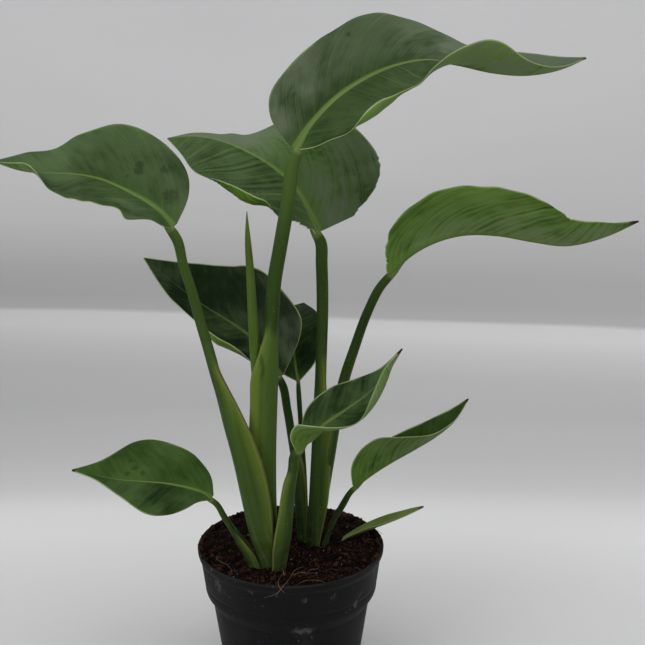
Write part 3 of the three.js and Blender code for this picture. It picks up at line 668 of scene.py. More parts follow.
# The stalk's own stations, and a neck that runs on under the blade.
def withNeck(leaf):
    neck = []
    if "blade" in leaf:
        track = Track(leaf["blade"])
        for share, shrink in stalkShape["neck"]:
            radius = leaf["stalk"][-1][3] * shrink
            at = np.array([share])
            normal = track.frames(at, leaf["heading"])[2][0]
            point = track.at(at)[0, :3] - stalkShape["neckSink"] * radius * normal
            neck.append([*point, radius, radius, 0, 2 * radius])
    return leaf["stalk"] + neck


def stalkSkin(leaf):
    shape = stalkShape
    track = Track(withNeck(leaf), shape["blur"])
    shares = np.linspace(0, 1, int(track.length / shape["rowStep"]) + 1)
    table = track.at(shares)
    _, left, normal = track.frames(shares, leaf["heading"])
    reaches = np.sin(np.linspace(0, math.pi / 2, shape["sideColumns"] + 1))
    halves = []
    for column in (3, 4):
        width = np.maximum(table[:, column], shape["leastWidth"])
        halves.append(foldedHalf(width, np.zeros(len(table)), table[:, 5], shape["wrapBend"], reaches))
    grid = sectionGrid(table[:, :3], left, normal, *halves)
    reach, widths = bothSides(reaches, table[:, 3], table[:, 4])
    around = reach * widths
    full = table[:, 6:7]
    oval = full * np.sqrt(np.maximum(1 - 0.985 * reach**2, 0))
    half = np.maximum(oval, np.minimum(shape["edge"], full * 0.5)) / 2
    along = (shares * track.length)[:, None] * np.ones_like(reach)
    line = np.array([station[:3] for station in leaf["stalk"] + leaf.get("blade", [])[:1]])
    bladeAt = np.linalg.norm(np.diff(line, axis=0), axis=1).sum()
    wide = np.nonzero(widths.max(axis=1) > shape["sheathWidth"])[0]
    sheathTop = along[wide[-1], 0] if len(wide) else 0
    sheath = smoothStep(widths, *shape["sheathFrom"])
    flangeBase, flangeMore, flangeFade = leaf["flange"]
    stripeAt, stripeDark = leaf["stripe"]
    stripe = stripeDark * bell(around - stripeAt, shape["lineWidth"])
    toTop = smoothStep(along, bladeAt - shape["topLength"], bladeAt)
    fields = {
        "reach": np.abs(reach),
        "around": around * mm,
        "along": along * mm,
        "sheath": sheath,
        # How strongly the pale sheath edge shows; where it shows more low down it paints light into the shade
        # there.
        "flange": flangeBase + flangeMore * np.exp(-np.maximum(sheathTop - along, 0) / flangeFade),
        "toBlade": smoothStep(along, bladeAt - shape["bladeFade"], bladeAt),
        "collar": bell(along - bladeAt + shape["collarAt"], shape["lineWidth"]) * (np.abs(reach) > 0.5),
        "tone": leaf["stalkTone"] + leaf["sheathTone"] * sheath + leaf["topTone"] * toTop,
        "height": table[:, 2:3] * np.ones_like(reach) * mm,
        "stripe": stripe * smoothStep(widths, *shape["stripeFrom"]),
    }
    for key in ("pale", "edgeDry"):
        fields[key] = np.full_like(reach, leaf[key])
    return skin(grid, half, half, fields)


# Looks of the greens. Noises have rates or a scale, detail and roughness. Paints have a colour and a cover.
sheen, paleLine, dryBrown = (0.75, 1, 0.55), (0.34, 0.40, 0.2), (0.035, 0.017, 0.009)
ribGreen, rimGreen = (0.125, 0.19, 0.05), (0.17, 0.2, 0.06)
leafLook = {
    "shine": 0.07, "sheen": sheen, "bump": (0.0009, 0.5),
    "fine": (620, 16, 0, 2, 0.55), "broad": (190, 4, 4, 1, 0.4), "blotch": (60, 60, 7, 3, 0.6),
    "level": (75, 1.5, 9, 2, 0.6), "some": (34, 1, 3, 0, 0.5),
    "cloud": (21, 3, 0.55), "speck": (260, 2, 0.6), "patch": (34, 1, 0.5),
    "lineLevel": 0.52, "lineWidth": 0.011, "linesFrom": (0.47, 0.55),
    "margin": (paleLine, 0.8, 0.0015, 0.0005), "marginPatch": (0.3, 0.6), "dry": (dryBrown, 1, 0.0125, 0.009),
}
# The upper face. Its haze paint is a painted grey sheen, a reflection, laid together with the real dust.
upperLook = {
    **leafLook, "dark": (0.006, 0.015, 0.0045), "light": (0.06, 0.12, 0.022),
    "haze": ((0.108, 0.136, 0.088), 0.8), "hazeFrom": (0.34, 0.74), "dustFrom": (0.55, 0.9),
    "vein": ((0.10, 0.15, 0.05), 0.45), "rib": (ribGreen, 0.95, 1.25, 0.45),
    "spot": ((0.007, 0.016, 0.006), 0.45, 0.35, 0.9),
}
# The underside: its own paler green with painted light shining through it, and bloom, a painted pale sheen.
underLook = {
    **leafLook, "dark": (0.022, 0.046, 0.007), "light": (0.115, 0.235, 0.027),
    "bloom": ((0.13, 0.16, 0.09), 0.8), "underSheenFrom": (0.68, 0.93),
    "vein": ((0.10, 0.15, 0.05), 0.5), "rib": ((0.085, 0.14, 0.028), 0.6, 1.9, 0.7),
}
# The stalk. low: darker near the soil, painted shade. pale: its own lighter green at the sheath edge, with
# painted light shining through it.
stalkLook = {
    "shine": 0.09, "sheen": sheen, "bump": (0.0006, 0.4),
    "dark": (0.012, 0.027, 0.005), "light": (0.056, 0.1, 0.02),
    "fine": (900, 9, 0, 2, 0.5), "broad": (150, 7, 6, 2, 0.5), "band": (75, 3, 2, 1, 0.4),
    "speck": (620, 1, 0.4), "patch": (120, 2, 0.6), "low": (0.2, 0.13),
    "pale": ((0.13, 0.18, 0.022), 0.9), "paleFrom": (0.58, 1.08), "rib": (ribGreen, 0.7, 0.2, 1),
    "collar": (rimGreen, 0.4), "rim": (rimGreen, 0.55, 0.88, 0.96),
    "brown": ((0.05, 0.026, 0.012), 1), "brownFrom": (0.94, 0.965),
    "splash": ((0.095, 0.1, 0.06), 0.55, 0.52, 0.76), "dots": (paleLine, 0.3, 0.745, 0.77),
}


# Streaks that follow the side veins, fine and broad, clouds and blotches, and a few thin pale lines.
def veinPatterns(finish):
    look = finish.look
    vein, across, lines = finish.fields("vein", "across", "lines")
    fine, broad, blotch, level, some = finish.streaks(vein, across, "fine", "broad", "blotch", "level", "some")
    line = (level - look["lineLevel"]).do("ABSOLUTE").rise(look["lineWidth"], 0)
    return fine, broad, *finish.noises("cloud"), blotch, line * some.rise(*look["linesFrom"]) * lines


def leafEdges(finish):
    speck, patch = finish.noises("speck", "patch")
    fromMargin, marginShow, fromTip = finish.fields("fromMargin", "marginShow", "fromTip")
    finish.lay("margin", fromMargin, (patch.rise(*finish.look["marginPatch"]) + marginShow).clamped())
    return finish.lay("dry", fromTip + speck.swing(0.004)), speck


def leafUpperFinish():
    finish = Finish("leafUpperGreen", upperLook)
    fine, broad, cloud, blotch, lines = veinPatterns(finish)
    ownTone, mottle, glow, ribbing, furrow = finish.fields("tone", "mottle", "glow", "ribbing", "furrow")
    haze, dust, ribShare, ribFade, blemish = finish.fields("haze", "dust", "ribShare", "ribFade", "blemish")
    # The tone of each half holds painted light and shade, and the furrows of the relief are painted lighter on
    # their ridges and darker in their valleys.
    tone = ownTone + glow * 0.5 + (cloud.swing(1.3) + blotch.swing(0.9)) * mottle
    tone = tone + broad.swing(0.8) * ribbing + furrow * ribbing * 0.2 + fine.swing(0.4)
    finish.base(tone.clamped())
    # Painted grey sheen, a reflection, in clouds, laid together with the real dust.
    haze = haze * (cloud * 0.7 + blotch * 0.3 + fine * 0.15).rise(*upperLook["hazeFrom"])
    dust = dust * (cloud + blotch * 0.4).rise(*upperLook["dustFrom"])
    haze = finish.lay("haze", (haze + dust).clamped())
    finish.lay("vein", lines)
    finish.lay("rib", ribShare, (ribFade * (ownTone + 0.7) + ownTone * 0.4 + 0.1).clamped())
    dry, speck = leafEdges(finish)
    finish.lay("spot", blemish + speck.swing(1.1) + cloud.swing(0.8))
    return finish.done(0.4 + cloud * 0.1 + fine * 0.06 + haze * 0.25 + dry * 0.2, fine * 0.3 + broad * ribbing)


def leafUnderFinish():
    finish = Finish("leafUnderGreen", underLook)
    fine, broad, cloud, blotch, lines = veinPatterns(finish)
    underTone, mottle, bloom, ribShare = finish.fields("underTone", "underMottle", "bloom", "ribShare")
    # underTone: the underside's own paler green, lifted by painted light shining through the leaf.
    tone = underTone + broad.swing(1.2) + fine.swing(0.6) + (cloud.swing(1.5) + blotch.swing(1.1)) * mottle
    finish.base(tone.clamped())
    # A painted pale sheen on the underside.
    bloom = bloom * (cloud * 0.4 + blotch * 0.3 + broad * 0.5 + fine * 0.4).rise(*underLook["underSheenFrom"])
    finish.lay("bloom", bloom.clamped())
    finish.lay("vein", lines)
    finish.lay("rib", ribShare)
    leafEdges(finish)
    return finish.done(0.48 + cloud * 0.1 + fine * 0.08, fine * 0.4 + broad)


def stalkFinish():
    finish = Finish("stalkGreen", stalkLook)
    around, along, reach, sheath, height = finish.fields("around", "along", "reach", "sheath", "height")
    tone, stripe, pale, flange, edgeDry = finish.fields("tone", "stripe", "pale", "flange", "edgeDry")
    toBlade, collar = finish.fields("toBlade", "collar")
    fine, broad, band = finish.streaks(around, along, "fine", "broad", "band")
    speck, patch = finish.noises("speck", "patch")
    # Darker low down near the soil: painted shade. The brown splash there is real soil.
    low = height.rise(*stalkLook["low"])
    tone = tone + fine.swing(0.6) + broad.swing(1.1) + band.swing(1.6) * sheath - low * 0.32 - stripe
    finish.base(tone.clamped())
    # The pale sheath edge: its own lighter green with painted light shining through it, lifted where flange
    # lights the shade.
    paleBand = (reach + broad.swing(0.4) + pale * 0.15).rise(*stalkLook["paleFrom"]) * sheath * pale
    paleBand = paleBand * (flange + 0.2).clamped() * (1 - low * 0.55) * (1 - stripe * 1.8).clamped()
    finish.lay("pale", paleBand.clamped())
    finish.lay("rib", toBlade)
    finish.lay("collar", collar)
    finish.lay("rim", reach + fine.swing(0.08), sheath)
    edge = (reach + fine.swing(0.06) + broad.swing(0.04)).rise(*stalkLook["brownFrom"]) * sheath
    finish.lay("brown", (edge * edgeDry * (flange * 1.1 - 0.1)).clamped())
    finish.lay("splash", broad * 0.4 + fine * 0.3 + patch * 0.5, low)
    finish.lay("dots", speck)
    return finish.done(0.4 + broad * 0.14 + fine * 0.08, fine * 0.6 + broad * 0.5)


leafGreens = [leafUpperFinish(), leafUnderFinish(), stalkFinish()]
print("leaf finishes ready")


def camelName(node):
    first, *rest = node.split("_")
    return first + "".join(word.title() for word in rest)


for node, leaf in leaves.items():
    if "blade" in leaf:
        leaf = {**plainLeaf, **leaf}
        skins = [stalkSkin(leaf), bladeSkin(leaf)]
        dress(makePiece(camelName(node), skins, [(2, 2), (0, 1)], leafGreens), node)
print("leaves grown")

# The first leaf: a narrow keeled scale, fresh green with a dark dry tip.
scaleLook = {
    "shine": 0.1, "sheen": sheen, "bump": (0.0004, 0.4),
    "dark": (0.055, 0.09, 0.014), "light": (0.175, 0.225, 0.065),
    "streak": (1000, 14, 0, 2, 0.5), "cloud": (60, 2, 0.5),
    "dry": (dryBrown, 1, -7 * mm, -2 * mm), "edge": (paleLine, 0.3, 0.93, 0.99),
}


def scaleFinish():
    finish = Finish("firstLeafGreen", scaleLook)
    around, along, reach = finish.fields("around", "along", "reach")
    (streak,), (cloud,) = finish.streaks(around, along, "streak"), finish.noises("cloud")
    finish.base((0.45 + streak.swing(0.5) + cloud.swing(0.6)).clamped())
    fromTip = along - Track(leaves["first_leaf"]["stalk"]).length * mm
    finish.lay("dry", fromTip + cloud.swing(0.006))
    finish.lay("edge", reach)
    return finish.done(0.42 + streak * 0.1, streak)


firstSkin = stalkSkin({**plainLeaf, **leaves["first_leaf"]})
dress(makePiece("firstLeaf", [firstSkin], [(0, 0)], [scaleFinish()]), "first_leaf")

# The spear: the next leaf, rolled round itself, so its seam climbs round it.
# A station is x, y, z, its radius and its width.
spearShape = {
    "stations": [
        (-19.5, -39.5, 112, 2.8, 3.6), (-20, -39.5, 137, 3, 4.4), (-21, -39.5, 165, 3.4, 5.4),
        (-22.5, -40, 205, 3.8, 6.6), (-23.5, -40, 245, 4, 7.6), (-24.5, -40, 285, 4, 8),
        (-27.4, -40, 318, 4.4, 8.8), (-29, -40, 349, 4.2, 8.4), (-30.6, -40, 392, 3.6, 7.2),
        (-32.2, -40, 425, 2.5, 4.8), (-32.6, -40, 440, 1.2, 2.2), (-32.7, -40, 449, 0.3, 0.6),
    ],
    "sides": 56, "rowStep": 2.2, "step": 0.13, "seamTurns": 0.95, "seamStart": 0.35, "tip": 0.4,
}
# lip: painted shade, darker on the inner layer just under the overlapping edge of the roll.
spearLook = {
    "shine": 0.1, "sheen": sheen, "bump": (0.0005, 0.4), "dark": (0.03, 0.06, 0.009),
    "light": (0.12, 0.19, 0.03), "cloud": (30, 2, 0.5), "seamStreaks": 16, "longStreaks": (55, 12),
    "lip": ((0.012, 0.028, 0.006), 0.7, 0.1, 0.03), "edge": (paleLine, 0.7, 0.9, 0.97),
}


def spearFinish():
    finish = Finish("spearGreen", spearLook)
    seam, along = finish.fields("seam", "along")
    slant, length = spearLook["longStreaks"]
    at = finish.join(seam * spearLook["seamStreaks"] + along * slant, along * length, 0)
    streak = finish.noise(at, 1, 2, 0.5)
    (cloud,) = finish.noises("cloud")
    finish.base((0.35 + streak.swing(0.9) + cloud.swing(0.7)).clamped())
    # Painted shade: darker on the inner layer just under the overlapping edge.
    finish.lay("lip", seam)
    finish.lay("edge", seam)
    return finish.done(0.4 + streak * 0.12, streak)


def makeSpear():
    shape = spearShape
    track = Track(shape["stations"], blur=5)
    shares = np.linspace(0, 1, int(track.length / shape["rowStep"]) + 1)
    table = track.at(shares)
    tangent, left, normal = track.frames(shares, 0)
    around = np.arange(shape["sides"]) / shape["sides"]
    seam = (around - (shape["seamStart"] + shape["seamTurns"] * shares)[:, None]) % 1
    radius = (table[:, 3] + table[:, 4] / 2)[:, None] / 2
    radius = radius * (1 - shape["step"] / 2 + shape["step"] * smoothStep(seam, 0.02, 1))
    angle = fullTurn * around[None, :, None]
    outwards = np.cos(angle) * left[:, None] + np.sin(angle) * normal[:, None]
    rings = table[:, None, :3] + radius[..., None] * outwards
    points = np.vstack([table[0, :3], rings.reshape(-1, 3), table[-1, :3] + shape["tip"] * tangent[-1]])
    along = np.concatenate([[0], np.repeat(shares, len(around)), [1]]) * track.length * mm
    fields = {"seam": np.concatenate([[0.5], seam.ravel(), [0.5]]), "along": along}
    faces = ringFaces(len(shares), len(around), True)
    piece = newPiece("rolledLeaf", points, (), faces, fields, [spearFinish()])
    piece.data.shade_smooth()
    dress(piece, "spear")
    outward(piece)


makeSpear()
print("spear rolled")


# A geometry tree with named inputs. Its values are given to the modifier by each socket's identifier.
class Growth(Nodes):
    def __init__(self, name, values):
        super().__init__(bpy.data.node_groups.new(name, "GeometryNodeTree"))
        face = self.tree.interface
        face.new_socket("Geometry", in_out="INPUT", socket_type="NodeSocketGeometry")
        self.values = {}
        for key, value in values.items():
            kind = "NodeSocket" + type(value).__name__.capitalize()
            self.values[face.new_socket(key, in_out="INPUT", socket_type=kind).identifier] = value
        face.new_socket("Geometry", in_out="OUTPUT", socket_type="NodeSocketGeometry")
        self.start = self.tree.nodes.new("NodeGroupInput")
        self.end = self.tree.nodes.new("NodeGroupOutput")

    def given(self, name):
        return Flow(self, self.start.outputs[name])

    def random(self, low, high, seed):
        vector = isinstance(low, tuple)
        sockets = {0: low, 1: high, "Seed": seed} if vector else {2: low, 3: high, "Seed": seed}
        kind = "FLOAT_VECTOR" if vector else "FLOAT"
        return self.node("FunctionNodeRandomValue", sockets, 0 if vector else 1, data_type=kind)

    # A size between two inputs. The higher the power, the more small ones.
    def between(self, low, high, seed, power):
        share = self.random(0, 1, seed)
        return self.given(low) + (self.given(high) - self.given(low)) * share**power

    def scattered(self, mesh, seed):
        sockets = {"Mesh": mesh, "Density": self.given("Density"), "Seed": seed}
        return self.node("GeometryNodeDistributePointsOnFaces", sockets)

    def instances(self, points, thing, rotation=(0, 0, 0), scale=(1, 1, 1)):
        sockets = {"Points": points, "Instance": thing, "Rotation": rotation, "Scale": scale}
        return self.node("GeometryNodeInstanceOnPoints", sockets)

    def real(self, geometry):
        return self.node("GeometryNodeRealizeInstances", {"Geometry": geometry})

    # A closed tube along curves.
    def tube(self, curves, sides, radius):
        sockets = {"Resolution": sides, "Radius": self.given(radius)}
        ring = self.node("GeometryNodeCurvePrimitiveCircle", sockets)
        sockets = {"Curve": curves, "Profile Curve": ring, "Fill Caps": True}
        return self.node("GeometryNodeCurveToMesh", sockets)

    # Ends the tree in real meshes with their material, runs it on a piece and keeps what it makes.
    def bake(self, piece, geometry):
        sockets = {"Geometry": self.real(geometry), "Material": self.given("Material")}
        self.feed(self.end.inputs[0], self.node("GeometryNodeSetMaterial", sockets))
        modifier = piece.modifiers.new(self.tree.name, "NODES")
        modifier.node_group = self.tree
        for identifier, value in self.values.items():
            modifier[identifier] = value
        bpy.context.view_layer.update()
        graph = bpy.context.evaluated_depsgraph_get()
        mesh = bpy.data.meshes.new_from_object(piece.evaluated_get(graph), depsgraph=graph)
        piece.modifiers.clear()
        piece.data = mesh
        print(piece.name, len(mesh.polygons), "faces")


# The pot: its outline in millimetres as radius, height and how round each corner is.
potShape = {
    "corners": [
        (0, 0, 0), (46, 0, 0.5), (47, 0.8, 0.5), (53, 0.8, 0.5), (54, 0, 0.5), (60, 0, 2.2),
        (72, 83.5, 1.2), (78.2, 93.5, 5), (78.9, 99.5, 1), (78.5, 101.5, 1), (79.4, 103.8, 1),
        (82.2, 125.6, 2.5), (84.5, 129.2, 2.5), (85, 134.8, 1.5), (82.8, 135.1, 0.9),
        (80.6, 128, 2), (76.9, 95, 5), (70.4, 84, 2), (58.4, 2.4, 3), (0, 2.4, 0),
    ],
    "cornerSteps": 6, "sharpAngle": math.radians(50),
    "inputs": {
        "Sides": 160, "Drain Holes": 6, "Drain Radius": 5 * mm, "Drain Circle": 48 * mm, "Drill": 12 * mm,
    },
}
# Dust and scuffs on it, a painted highlight along the lip and painted shade on the chamfer band. A scuff: its
# middle in millimetres, radius, strength.
potLook = {
    "shine": 0.12, "bump": (0.0008, 0.3), "dark": (0.0034, 0.0035, 0.0038), "light": (0.02, 0.0196, 0.0192),
    "cloud": (22, 4, 0.65), "grain": (900, 2, 0.5), "speck": (330, 2, 0.6),
    "smear": ((28, 28, 9), 3, 0.6), "fleck": ((420, 420, 160), 3, 0.65),
    "dustFrom": (0.45, 0.85), "lip": (0.1325, 0.1345), "lipSmear": (0.3, 0.6),
    "step": (0.081, 0.086), "stepEnd": (0.098, 0.09), "under": ((0.0015, 0.0015, 0.0016), 0.55),
    "rubbed": ((0.095, 0.093, 0.09), 0.75, 0.66, 1.05), "bits": ((0.14, 0.13, 0.12), 0.5, 0.69, 0.72),
    "scuffReach": 1.6 * mm,
    "scuffs": [
        ((14, -82, 120), 4, 1), ((14, -82, 111), 4, 0.7), ((8, -73, 87), 8, 0.9), ((18, -72, 86), 6, 0.8),
        ((59, -54, 102), 5, 0.9), ((64, -52, 110), 4, 0.8), ((-33, -77, 124), 4, 0.8),
        ((-62, -52, 118), 9, 0.7), ((-10, -83, 127), 5, 0.6), ((40, -73, 119), 5, 0.6),
        ((-50, -60, 92), 7, 0.5), ((45, -66, 75), 8, 0.5), ((74, -32, 122), 5, 0.6),
        ((-24, -79, 100), 5, 0.3), ((-70, -30, 75), 8, 0.3), ((60, -40, 60), 9, 0.35),
    ],
}


# An outline through corners, each rounded by a few points.
def roundedOutline(corners, steps):
    points = []
    for i, (r, z, rounding) in enumerate(corners):
        here = Vector((r, z))
        if not rounding:
            points.append(here)
            continue
        before, after = (Vector(corners[k][:2]) - here for k in (i - 1, i + 1))
        size = min(rounding, 0.45 * before.length, 0.45 * after.length)
        a, b = here + before.normalized() * size, here + after.normalized() * size
        for k in range(steps + 1):
            t = k / steps
            points.append(a * (1 - t) ** 2 + here * 2 * t * (1 - t) + b * t**2)
    return [(p.x, 0, p.y) for p in points]


def potFinish():
    finish, look = Finish("blackPlastic", potLook), potLook
    cloud, smear, grain, speck, fleck = finish.noises("cloud", "smear", "grain", "speck", "fleck")
    height = finish.part(finish.place, 2)
    # A painted highlight along the top edge of the lip, blotched with the dust there.
    lip = height.rise(*look["lip"]) * smear.rise(*look["lipSmear"]) * 0.8
    dust = ((cloud + smear.swing(0.9)).rise(*look["dustFrom"]) + lip).clamped()
    finish.base(dust * 0.6)
    # Painted shade: darker on the chamfer band above the step.
    finish.lay("under", height.rise(*look["step"]) * height.rise(*look["stepEnd"]))
    scuffed = 0
    for middle, radius, strength in look["scuffs"]:
        ends = {0: finish.place, 1: tuple(c * mm for c in middle)}
        gap = finish.node("ShaderNodeVectorMath", ends, 1, operation="DISTANCE")
        scuffed = gap.rise(radius * look["scuffReach"], 0) * strength + scuffed
    finish.lay("rubbed", scuffed * 0.5 + fleck)
    finish.lay("bits", speck + cloud.swing(0.4))
    return finish.done(0.5 + dust * 0.25 + grain * 0.1, grain * 0.3 + cloud)


def makePot():
    outline = roundedOutline(potShape["corners"], potShape["cornerSteps"])
    piece = newPiece("nurseryPot", outline, [(i, i + 1) for i in range(len(outline) - 1)])
    tree = Growth("turnedPot", {**potShape["inputs"], "Material": potFinish()})
    profile, sides = tree.given("Geometry"), tree.given("Sides")
    count = tree.node("GeometryNodeAttributeDomainSize", {"Geometry": profile}, component="MESH")
    sheet = tree.node("GeometryNodeMeshGrid", {"Vertices X": sides + 1, "Vertices Y": count})
    index = tree.node("GeometryNodeInputIndex")
    column = (index / count + 1e-4).do("FLOOR")
    position = tree.node("GeometryNodeInputPosition")
    sockets = {"Geometry": profile, "Value": position, "Index": index - column * count}
    sampled = tree.node("GeometryNodeSampleIndex", sockets, data_type="FLOAT_VECTOR")
    radius, height = tree.part(sampled, 0), tree.part(sampled, 2)
    turn = column * fullTurn / sides
    spot = tree.join(radius * turn.do("COSINE"), radius * turn.do("SINE"), height)
    turned = tree.node("GeometryNodeSetPosition", {"Geometry": sheet, "Position": spot})
    closed = tree.node("GeometryNodeMergeByDistance", {"Geometry": turned, "Distance": 1e-5})
    sockets = {"Vertices": tree.given("Drain Holes"), "Radius": tree.given("Drain Circle")}
    ring = tree.node("GeometryNodeMeshCircle", sockets)
    sockets = {"Vertices": 32, "Radius": tree.given("Drain Radius"), "Depth": tree.given("Drill")}
    drills = tree.instances(ring, tree.node("GeometryNodeMeshCylinder", sockets))
    turnedDrills = tree.node("GeometryNodeTransform", {"Geometry": drills, "Rotation": (0, 0, math.pi / 6)})
    sockets = {0: closed, 1: tree.real(turnedDrills)}
    tree.bake(piece, tree.node("GeometryNodeMeshBoolean", sockets, operation="DIFFERENCE", solver="EXACT"))
    outward(piece)
    piece.data.shade_smooth()
    piece.data.set_sharp_from_angle(angle=potShape["sharpAngle"])
    dress(piece, "pot")


makePot()

# The soil: a lumpy top a little under the lip, and a plain body inside the pot.
soilLook = {
    "edge": 81.4, "rings": 120, "around": 280, "level": 132.2, "crown": 1, "edgeDrop": 0.6, "backHump": 2.4,
    "backFrom": (0.2, 0.9), "edgeFrom": (0.9, 1), "body": [(76, 98), (69.8, 85.5), (57.9, 3)],
    "hollow": (33, -18, 12, 3.5), "swells": [(0.04, 2), (0.1, 2.2), (0.24, 2), (0.5, 1.3)],
}


def soilLevel(x, y):
    outer = math.hypot(x, y) / soilLook["edge"]
    level = soilLook["level"] + soilLook["crown"] * (1 - outer**2)
    level += soilLook["backHump"] * smoothStep(y / soilLook["edge"], *soilLook["backFrom"])
    hollowX, hollowY, wide, deep = soilLook["hollow"]
    level -= deep * math.exp(-((x - hollowX) ** 2 + (y - hollowY) ** 2) / wide**2)
    for size, height in soilLook["swells"]:
        level += height * noise.noise(Vector((x * size, y * size, 10 * size)))
    return level - soilLook["edgeDrop"] * smoothStep(outer, *soilLook["edgeFrom"])


def soilMesh(name, outerShare, closed=False, materials=()):
    rings, around = soilLook["rings"], soilLook["around"]
    outline = [(soilLook["edge"] * outerShare * i / rings, 0) for i in range(1, rings + 1)]
    points = [(x, y, soilLevel(x, y)) for x, y, z in [(0, 0, 0), *ringPoints(outline, around)]]
    if closed:
        points += [*ringPoints(soilLook["body"], around), (0, 0, soilLook["body"][-1][1])]
        rings += len(soilLook["body"])
    return newPiece(name, points, (), ringFaces(rings, around, closed), None, materials)


peatLook = {
    "shine": 0.05, "bump": (0.0015, 0.8), "dark": (0.0009, 0.0005, 0.0004), "light": (0.014, 0.0055, 0.0036),
    "coarse": (150, 4, 0.65), "fine": (750, 3, 0.6), "patch": (45, 2, 0.5),
}


def soilFinish():
    finish = Finish("dampPeat", peatLook)
    coarse, fine, patch = finish.noises("coarse", "fine", "patch")
    finish.base((coarse * 0.6 + fine * 0.4 + patch.swing(0.5)).rise(0.36, 0.78))
    return finish.done(0.72 + fine * 0.25, coarse + fine * 0.5)


soil = soilMesh("soilBody", 1, True, [soilFinish()])
soil.data.shade_smooth()
dress(soil, "soil")

# What lies on the soil: dark, light, grain and roughness of each kind.
litterLooks = {
    "peatCrumbs": ((0.001, 0.0007, 0.0005), (0.056, 0.027, 0.015), 90, 0.8),
    "barkChunks": ((0.001, 0.0007, 0.0005), (0.056, 0.024, 0.014), 80, 0.75),
    "whiteGrains": ((0.25, 0.24, 0.22), (0.55, 0.53, 0.5), 500, 0.7),
    "coirBrown": ((0.008, 0.003, 0.0015), (0.07, 0.026, 0.012), 90, 0.7),
    "rootTan": ((0.045, 0.02, 0.012), (0.26, 0.16, 0.1), 60, 0.55),
}


def litterFinish(name):
    dark, light, scale, rough = litterLooks[name]
    look = {"dark": dark, "light": light, "fine": (scale, 3, 0.6), "shine": 0.08, "bump": (0.0003, 0.5)}
    finish = Finish(name, look)
    (fine,) = finish.noises("fine")
    finish.base(fine.rise(0.3, 0.75))
    return finish.done(rough + fine * 0.15, fine)


litterFinishes = {name: litterFinish(name) for name in litterLooks}
# Lumps: their kind, seed, smallest and largest size in millimetres, and how many lie on a square metre.
# Without that number there is one on each point of the ground.
lumps = {
    "soilCrumbs": ("peatCrumbs", 7, 0.4, 1.9, 130000.0),
    "soilChunks": ("barkChunks", 19, 1.2, 3.6, 14000.0),
    "paleGrains": ("whiteGrains", 4, 0.3, 0.75, 1600.0),
    "rimBits": ("peatCrumbs", 3, 0.6, 3, 700000.0),
    "perliteSpecks": ("whiteGrains", 12, 0.4, 1),
}
lumpShape = {"stretch": [(0.5, 0.45, 0.4), (1.25, 1, 0.8)], "smallOnes": 2.2}


def scatterLumps(ground):
    kind, seedValue, smallest, largest, *density = lumps[ground.name]
    values = {"Smallest": smallest * mm, "Largest": largest * mm, "Seed": seedValue}
    if density:
        values["Density"] = density[0]
    tree = Growth(ground.name, {**values, "Material": litterFinishes[kind]})
    seed, spots = tree.given("Seed"), tree.given("Geometry")
    if density:
        spots = tree.scattered(spots, seed)
    ball = tree.node("GeometryNodeMeshIcoSphere", {"Radius": 1, "Subdivisions": 1})
    turn = tree.random((0, 0, 0), (fullTurn, fullTurn, fullTurn), seed + 1)
    size = tree.between("Smallest", "Largest", seed + 2, lumpShape["smallOnes"])
    stretched = tree.stretch(tree.random(*lumpShape["stretch"], seed + 3), size)
    tree.bake(ground, tree.instances(spots, ball, turn, stretched))
    dress(ground)


# The back of the pot's lip, where crumbs lie: its turn from and by, its inner and its wavy outer line.
lipLook = {"from": -25, "by": 230, "steps": 120, "inner": (80.4, 134), "outer": (83, 135.3), "wave": (0.6, 9)}


def lipStrip(name):
    points, steps = [], lipLook["steps"]
    height, count = lipLook["wave"]
    for k in range(steps + 1):
        turn = math.radians(lipLook["from"] + lipLook["by"] * k / steps)
        outer, top = lipLook["outer"]
        for r, z in (lipLook["inner"], (outer + height * math.sin(count * turn), top)):
            points.append((r * math.cos(turn), r * math.sin(turn), z))
    return newPiece(name, points, (), [(a, a + 1, a + 3, a + 2) for a in range(0, 2 * steps, 2)])


# The larger grains of perlite: where they lie, and how far their middles are over the soil.
perliteSpots = [
    (1, -29), (-3, -40), (-5, -46), (24, 1), (13, 6), (30, -7), (45, -11), (46, -35), (36, -32), (24, -56),
    (11, 19), (9, -33), (18, -20), (27, -3), (34, -10), (-48, -63), (-20, -80), (52, 30), (-40, 20), (5, -60),
]
perliteRise = 1.2

scatterLumps(soilMesh("soilCrumbs", 0.995))
scatterLumps(soilMesh("soilChunks", 0.98))
scatterLumps(soilMesh("paleGrains", 0.98))
scatterLumps(lipStrip("rimBits"))
scatterLumps(newPiece("perliteSpecks", [(x, y, soilLevel(x, y) + perliteRise) for x, y in perliteSpots]))

# Short curved threads of coir that lie about on the ground.
threadLook = {
    "inputs": {"Density": 9000.0, "Shortest": 2.5 * mm, "Longest": 8 * mm, "Thick": 0.16 * mm, "Seed": 31},
    "bow": {
        "Resolution": 5, "Start": (-0.5, 0, -0.02), "Middle": (0.05, 0.3, 0.14), "End": (0.5, -0.05, -0.02),
    },
    "turns": [(-0.7, -0.5, 0), (0.7, 0.5, fullTurn)],
}


def scatterThreads():
    tree = Growth("coirThreads", {**threadLook["inputs"], "Material": litterFinishes["coirBrown"]})
    seed = tree.given("Seed")
    spots = tree.scattered(tree.given("Geometry"), seed)
    bow = tree.node("GeometryNodeCurveQuadraticBezier", threadLook["bow"])
    turn = tree.random(*threadLook["turns"], seed + 1)
    length = tree.between("Shortest", "Longest", seed + 2, 2)
    lines = tree.real(tree.instances(spots, bow, turn, tree.join(length, length, length)))
    piece = soilMesh("coirThreads", 0.98)
    tree.bake(piece, tree.tube(lines, 3, "Thick"))
    dress(piece)


scatterThreads()

